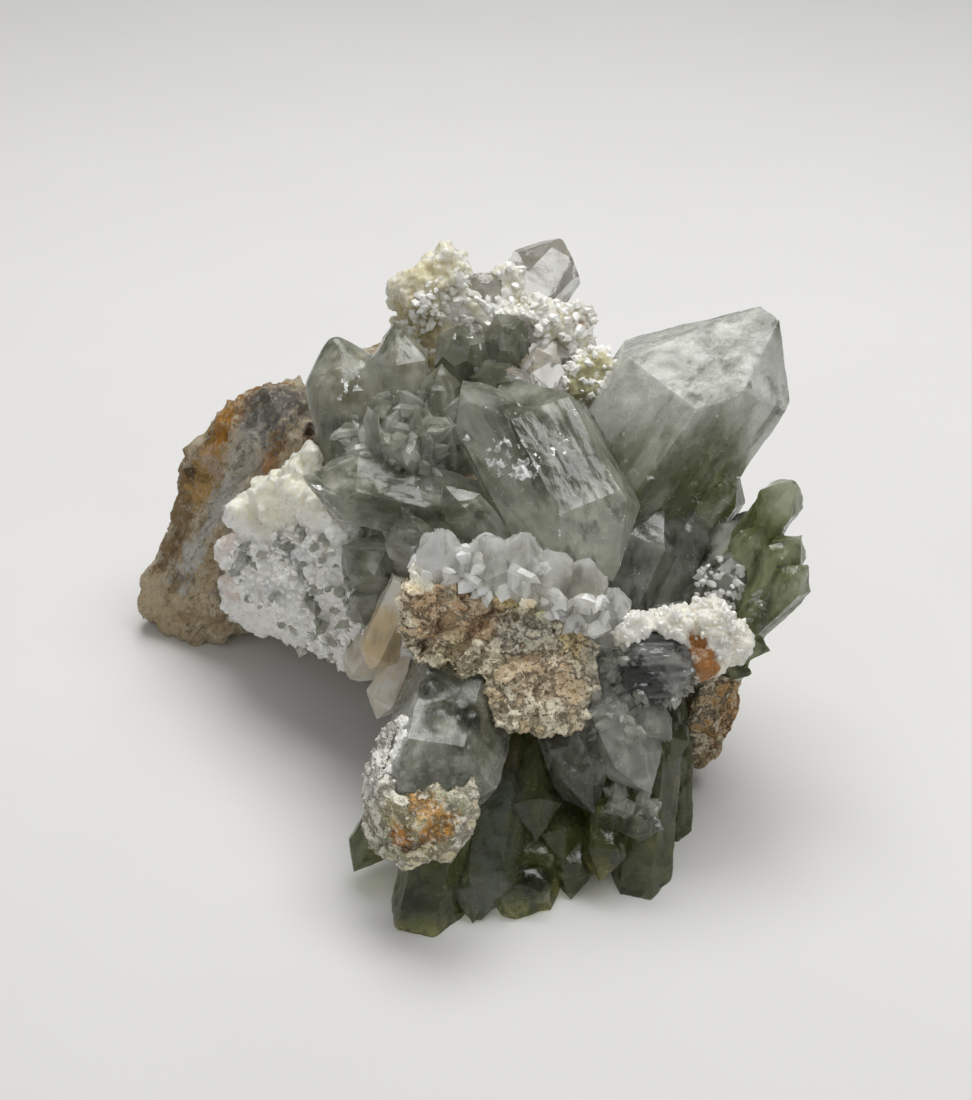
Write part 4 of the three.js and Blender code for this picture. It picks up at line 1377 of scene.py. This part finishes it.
crystal_pieces = {}
for node, name, depth, body, axis, relief, slot_name in CRYSTALS:
    layers = [lumps(5.0, 0.3 * relief), lumps(1.6, 0.12 * relief, axis, 0.85), *DROPS.get(node, [])]
    piece = crisp(node, name, depth, layers)
    crystal_pieces[node] = piece
    if node == "back_left_crystals":
        round_off(piece, *EATEN_ROUND)
    finish_piece(piece, [node], [body, chipped, fracture])
    if depth == FINE:
        chip_edges(piece, CHIPPED_INDEX)
    crack_open(piece, FRACTURE_INDEX, FRACTURES.get(node, ()))

# %% [markdown]
# In the top group only the tall crystal is glass clear. The broad faces under it are smoky windows,
# so those faces take the smoky material. It is the same mesh, because they are the same crystals.

# %% The smoky windows
SMOKY_INDEX = 3
SMOKY_SPOTS = [((-1, 15, 55), 4.6), ((7.5, 13.5, 55.5), 3.9), ((4, 12, 51.5), 4.4)]
top = crystal_pieces["top_crystals"]
top.data.materials.append(smoky_quartz)
places = corners_of(top.data)[0]
smoky = np.zeros(len(places), bool)
for centre, radius in SMOKY_SPOTS:
    smoky |= np.linalg.norm(places - np.array(centre), axis=1) < radius
for polygon in top.data.polygons:
    if polygon.material_index == 0 and smoky[polygon.vertices[0]]:
        polygon.material_index = SMOKY_INDEX
print("smoky faces:", sum(polygon.material_index == SMOKY_INDEX for polygon in top.data.polygons))

# %% [markdown]
# One dark crystal face looks out under the right crust. Its growth stopped and started, so it is
# stepped in fine level ridges, and its rim is eaten away. Lumps drawn out along the level axis give
# those ridges.

# %% The striated dark window
LEVEL_AXIS = Vector((1, 0, 0))
STEPS = [lumps(1.1, 0.4, LEVEL_AXIS, 0.88), lumps(0.4, 0.16, LEVEL_AXIS, 0.85)]
PANE_EDGE = {"ragged": 0.6, "softness": 0.1}

dark_pane = stain((23.5, -23.5, 27), 2.2, (44, 46, 43), end=(27, -23.5, 24.5), share=0.92, **PANE_EDGE)
window_quartz = quartz(
    "striated dark quartz",
    (110, 112, 106),
    (176, 178, 174),
    deep=(58, 60, 54),
    clear=0.5,
    axis=LEVEL_AXIS,
    stains=[
        dark_pane,
        stain((28.5, -22.5, 28.5), 1.5, (196, 197, 190), end=(30.5, -22.5, 24), share=0.8, ragged=1.0),
        stain((22, -21, 24), 1.3, (214, 214, 208), end=(28, -22, 22), share=0.8, ragged=1.0),
    ],
)
window = crisp("window_crystal", "striated_window", PLAIN, STEPS)
finish_piece(window, ["window_crystal"], [window_quartz])

# %% [markdown]
# Under the clear skin of such a crystal lie clouds: milky veils of tiny bubbles, and ghosts of its
# younger self in green chlorite. A volume could hold them, but it would take many more samples to
# render. So a cloud is a surface inside the crystal that is shown only in wisps, by its alpha.


# %% A material for clouds
def cloud_material(name, thin, thick, low=0.44, high=0.62, most=0.85, size=2.6, stains=()):
    """Colours as in the picture. Noise below low is clear, above high it shows at its most"""
    thin, thick = [srgb(*shade) for shade in (thin, thick)]
    material, graph = new_material(name)
    wisps = graph.use(mottle, Size=size, Detail=5.0, Coarseness=0.62)
    broad = graph.use(mottle, Size=size * 2.0, Detail=3.0, Coarseness=0.5)
    colour = stained(graph, graph.mix(graph.spread(broad, 0.4, 0.6), thin, thick), stains)
    shown = graph.spread(wisps, low, high, 0.0, most)
    finish_material(graph, colour, 0.7, alpha=shown, Specular_IOR_Level=0.1)
    return material


milky_veils = cloud_material("milky veils", (176, 178, 162), (224, 224, 214), most=0.7)
large_veils = cloud_material(
    "milky and chlorite veils",
    (214, 216, 208),
    (240, 240, 235),
    most=0.8,
    low=0.4,
    high=0.6,
    size=4.0,
    stains=[
        stain((24, 4, 41), 5.0, (150, 156, 120), end=(38, 5, 45), share=0.9, softness=0.7),
        stain((26, 2, 35), 6.0, (130, 138, 92), end=(37, 4, 37), share=0.95, softness=0.6),
    ],
)
chlorite_ghost = cloud_material(
    "chlorite ghost", (66, 71, 40), (104, 110, 68), low=0.42, high=0.7, most=0.7, size=4.0
)
print("cloud materials:", milky_veils.name, large_veils.name, chlorite_ghost.name)

# %% [markdown]
# A cloud has the crystal's own shape, because it marks the faces that the crystal had when it was
# smaller. So it is a rounded copy of the solid, drawn in by a millimetre or so and made lumpy. It
# lies under real facets, so it bends and shifts as the eye moves.


# %% Clouds inside the crystals
CLOUD_VOXEL = 0.7
CLOUD_ROUNDING = 6
CLOUD_LUMPS = 2.5
CLOUD_LUMPINESS = 0.45
CLOUDS = [
    ("centre_crystal", "centre_veils", 1.6, milky_veils, "grey_green_quartz"),
    ("large_right_crystal", "large_right_veils", 1.6, large_veils, "milky_quartz"),
    ("left_lying_crystals", "left_lying_veils", 1.2, milky_veils, "grey_green_quartz"),
    ("back_left_crystals", "back_left_veils", 1.2, milky_veils, "grey_green_quartz"),
    ("capped_front_crystal", "capped_front_veils", 1.3, milky_veils, "clear_quartz"),
    ("mid_pale_crystals", "mid_pale_veils", 1.0, milky_veils, "milky_quartz"),
    ("front_foot_crystals", "front_foot_ghosts", 1.0, chlorite_ghost, "chlorite_quartz"),
    ("right_foot_crystals", "right_foot_ghosts", 1.0, chlorite_ghost, "chlorite_quartz"),
    ("right_finger_crystals", "right_finger_ghosts", 0.9, chlorite_ghost, "chlorite_quartz"),
]

for node, name, inset, material, slot_name in CLOUDS:
    piece = even_mesh(node, name, rounding=CLOUD_ROUNDING, mode="VOXEL", voxel_size=CLOUD_VOXEL * MM)
    places, normals = corners_of(piece.data)
    rough = np.array([noise.fractal(Vector(place) / CLOUD_LUMPS, 1.0, 2.0, 3) for place in places])
    move_corners(piece, places - normals * (inset * (1 + CLOUD_LUMPINESS * rough))[:, None])
    finish_piece(piece, materials=[material])

# %% [markdown]
# Small quartz points fill every gap: druse on the crusts, a tangle behind the lying crystal, stubs
# round the large feet. Each is a six-sided prism with an off-centre pyramid, a little flattened and
# with shoulders at different heights, because no two natural points are alike.

# %% One small quartz point
POINT_FACES = [(i, (i + 1) % 6, 6 + (i + 1) % 6, 6 + i) for i in range(6)]
POINT_FACES += [(6 + i, 6 + (i + 1) % 6, 12) for i in range(6)] + [(5, 4, 3, 2, 1, 0)]
SLANTED = (0.36, 0.48, 0.8)
STEEP = 0.9
FLATTEST = 0.65
TIP_TO_WIDTH = 0.6
TIP_TO_LENGTH = 0.7
SHOULDER_LOW = 0.75
SHOULDER_HIGH = 1.25
TIP_LEAN = 0.2
ROOT_DEPTH = 0.3
NARROWEST = 0.9


def quartz_point(foot, aim, length, width, chance):
    """The 13 corners of a quartz point that stands on foot and grows along aim, in mm"""
    aim = aim / np.linalg.norm(aim)
    side = np.cross(aim, SLANTED if abs(aim[2]) < STEEP else (1, 0, 0))
    side /= np.linalg.norm(side)
    other = np.cross(aim, side)
    spin = chance.uniform(0, math.tau)
    flat = chance.uniform(FLATTEST, 1.0)
    turns = spin + np.arange(6) * math.tau / 6
    ring = np.outer(np.cos(turns), side) + np.outer(np.sin(turns) * flat, other)
    ring *= width / 2
    tip_height = min(TIP_TO_WIDTH * width, TIP_TO_LENGTH * length)
    shoulders = length - tip_height * chance.uniform(SHOULDER_LOW, SHOULDER_HIGH, 6)
    sideways = side * chance.uniform(-TIP_LEAN, TIP_LEAN)
    lean = (sideways + other * chance.uniform(-TIP_LEAN, TIP_LEAN)) * width
    low = foot + ring - aim * ROOT_DEPTH * width
    high = foot + ring * chance.uniform(NARROWEST, 1.0) + np.outer(shoulders, aim)
    return np.vstack([low, high, foot + aim * length + lean])


print("faces of one point:", len(POINT_FACES))

# %% [markdown]
# Thousands of objects would be slow to render and hard to name, so all the points of one patch of
# druse are joined in one mesh. It is made straight from the corners and faces of its points, which
# is far quicker than joining objects.


# %% Many points in one mesh
POINT_CORNERS = 13


def joined_points(name, seats, chance, material):
    """seats is a list of (foot, aim, length, width)"""
    corners = [quartz_point(*seat, chance) for seat in seats]
    starts = range(0, POINT_CORNERS * len(seats), POINT_CORNERS)
    faces = [tuple(start + i for i in face) for start in starts for face in POINT_FACES]
    places = np.vstack(corners)
    places[:, 2] = np.maximum(places[:, 2], 0)
    mesh = bpy.data.meshes.new(name)
    mesh.from_pydata((places * MM).tolist(), [], faces)
    piece = bpy.data.objects.new(name, mesh)
    bpy.context.collection.objects.link(piece)
    finish_piece(piece, materials=[material])


print("corners of one point:", POINT_CORNERS)

# %% [markdown]
# Points grow out of a face, and away from it. So their seats are faces of the piece that they grow
# on, picked at random with larger faces picked more often, inside balls that mark the patch. Each
# point leans away from the face's normal by chance. UNRULY says how far.


# %% Seats for the points
UNRULY = 0.5


def seats_on(piece, count, chance, balls, length, width):
    """Random seats on the piece's faces inside the balls, with ranges for the sizes"""
    mesh = piece.data
    centres = np.array([polygon.center for polygon in mesh.polygons]) / MM
    normals = np.array([polygon.normal for polygon in mesh.polygons])
    areas = np.array([polygon.area for polygon in mesh.polygons])
    kept = np.zeros(len(centres), bool)
    for centre, radius in balls:
        kept |= np.linalg.norm(centres - np.array(centre), axis=1) < radius
    weights = areas * kept
    picked = chance.choice(len(areas), count, p=weights / weights.sum())
    seats = []
    for i in picked:
        size = chance.uniform(*width)
        aim = normals[i] + UNRULY * chance.normal(size=3)
        seats.append((centres[i], aim, chance.uniform(*length) * size, size))
    return seats


print("spread of the leaning, as a share of the normal:", UNRULY)

# %% [markdown]
# The last table holds every patch of small points, with the piece that it grows on. Its two ranges
# are the length, as a share of the width, and the width in mm. The grains round the cap and on the
# rim of the tan rock are the same points, only shorter than they are wide. One seeded generator picks
# all of them in order, so that the cluster comes out the same each time.

# %% The patches of small points
LEFT_DRUSE = [((-18, 3, 21), 11), ((-26, 11, 20), 6)]
TOP_DRUSE = [((13, 18, 54), 11), ((2, 20, 54), 8)]
RIGHT_DRUSE = [((38, -15.5, 30), 7), ((25, -16, 33), 7)]
TANGLE = [((-5, 6, 46), 6.5), ((-9, 8, 44), 5)]
WINDOW_RIM = [((21.5, -19, 27), 3.6), ((24, -21.5, 22), 3.4), ((30, -21, 23), 3)]
MID_GAPS = [((22, -22, 24), 7), ((4, -25, 26), 5)]
CAP_BORDER = [((-7, -29, 21), 4.5), ((-8, -33, 18), 4)]
DARK_GAP = [((37, -10, 31), 5), ((32, -8, 32), 3)]
RIGHT_FOOT = [((24, -28.5, 13), 3.6)]
FINGER_GAP = [((38, -13, 31), 3.6)]
PALE_RIM = [((-3, -16.5, 38), 4), ((4.5, -16, 38), 4), ((11, -17.5, 36), 4.5), ((17, -17.5, 33), 4)]
ROCK_RIM = [((-3, -16.5, 38.5), 3), ((4.5, -16.5, 38.5), 3), ((11, -18, 36.8), 2.6)]

lying = crystal_pieces["left_lying_crystals"]
back_left = crystal_pieces["back_left_crystals"]
mid_pale = crystal_pieces["mid_pale_crystals"]
capped = crystal_pieces["capped_front_crystal"]
dark_middle = crystal_pieces["dark_middle_crystals"]
right_foot = crystal_pieces["right_foot_crystals"]
fingers = crystal_pieces["right_finger_crystals"]
pale_front = crystal_pieces["pale_front_points"]

chance = np.random.default_rng(SEED)
PATCHES = [
    ("left_druse_points", left_crust, 800, LEFT_DRUSE, (0.4, 0.9), (0.5, 1.5), points_quartz),
    ("left_clear_points", left_crust, 90, LEFT_DRUSE, (0.6, 1.2), (1.0, 2.2), glass_points),
    ("top_druse_points", top_crust, 700, TOP_DRUSE, (0.5, 1.2), (0.5, 1.4), points_quartz),
    ("right_druse_points", right_crust, 300, RIGHT_DRUSE, (0.3, 0.8), (0.4, 0.9), points_quartz),
    ("tangle_points", lying, 70, TANGLE, (1.5, 3.0), (1.2, 2.6), glass_points),
    ("back_tangle_points", back_left, 70, TANGLE, (1.2, 2.6), (1.0, 2.4), glass_points),
    ("window_rim_points", window, 150, WINDOW_RIM, (0.5, 1.1), (0.6, 1.8), glass_points),
    ("mid_clear_points", mid_pale, 90, MID_GAPS, (0.6, 1.3), (0.8, 2.0), glass_points),
    ("cap_border_grains", capped, 420, CAP_BORDER, (0.15, 0.5), (0.5, 1.4), points_quartz),
    ("dark_gap_points", dark_middle, 60, DARK_GAP, (0.5, 1.0), (0.6, 1.3), pale_points),
    ("foot_fragments", right_foot, 26, RIGHT_FOOT, (0.5, 1.1), (1.2, 2.8), glass_points),
    ("finger_gap_points", fingers, 22, FINGER_GAP, (0.5, 1.0), (0.5, 1.1), glass_points),
    ("pale_rim_points", pale_front, 70, PALE_RIM, (0.7, 1.4), (0.9, 2.4), pale_points),
    ("rim_grains", tan_rock, 500, ROCK_RIM, (0.3, 0.8), (0.35, 0.9), cream_points),
]
for name, ground, count, balls, length, width, material in PATCHES:
    seats = seats_on(ground, count, chance, balls, length, width)
    joined_points(name, seats, chance, material)

# %% [markdown]
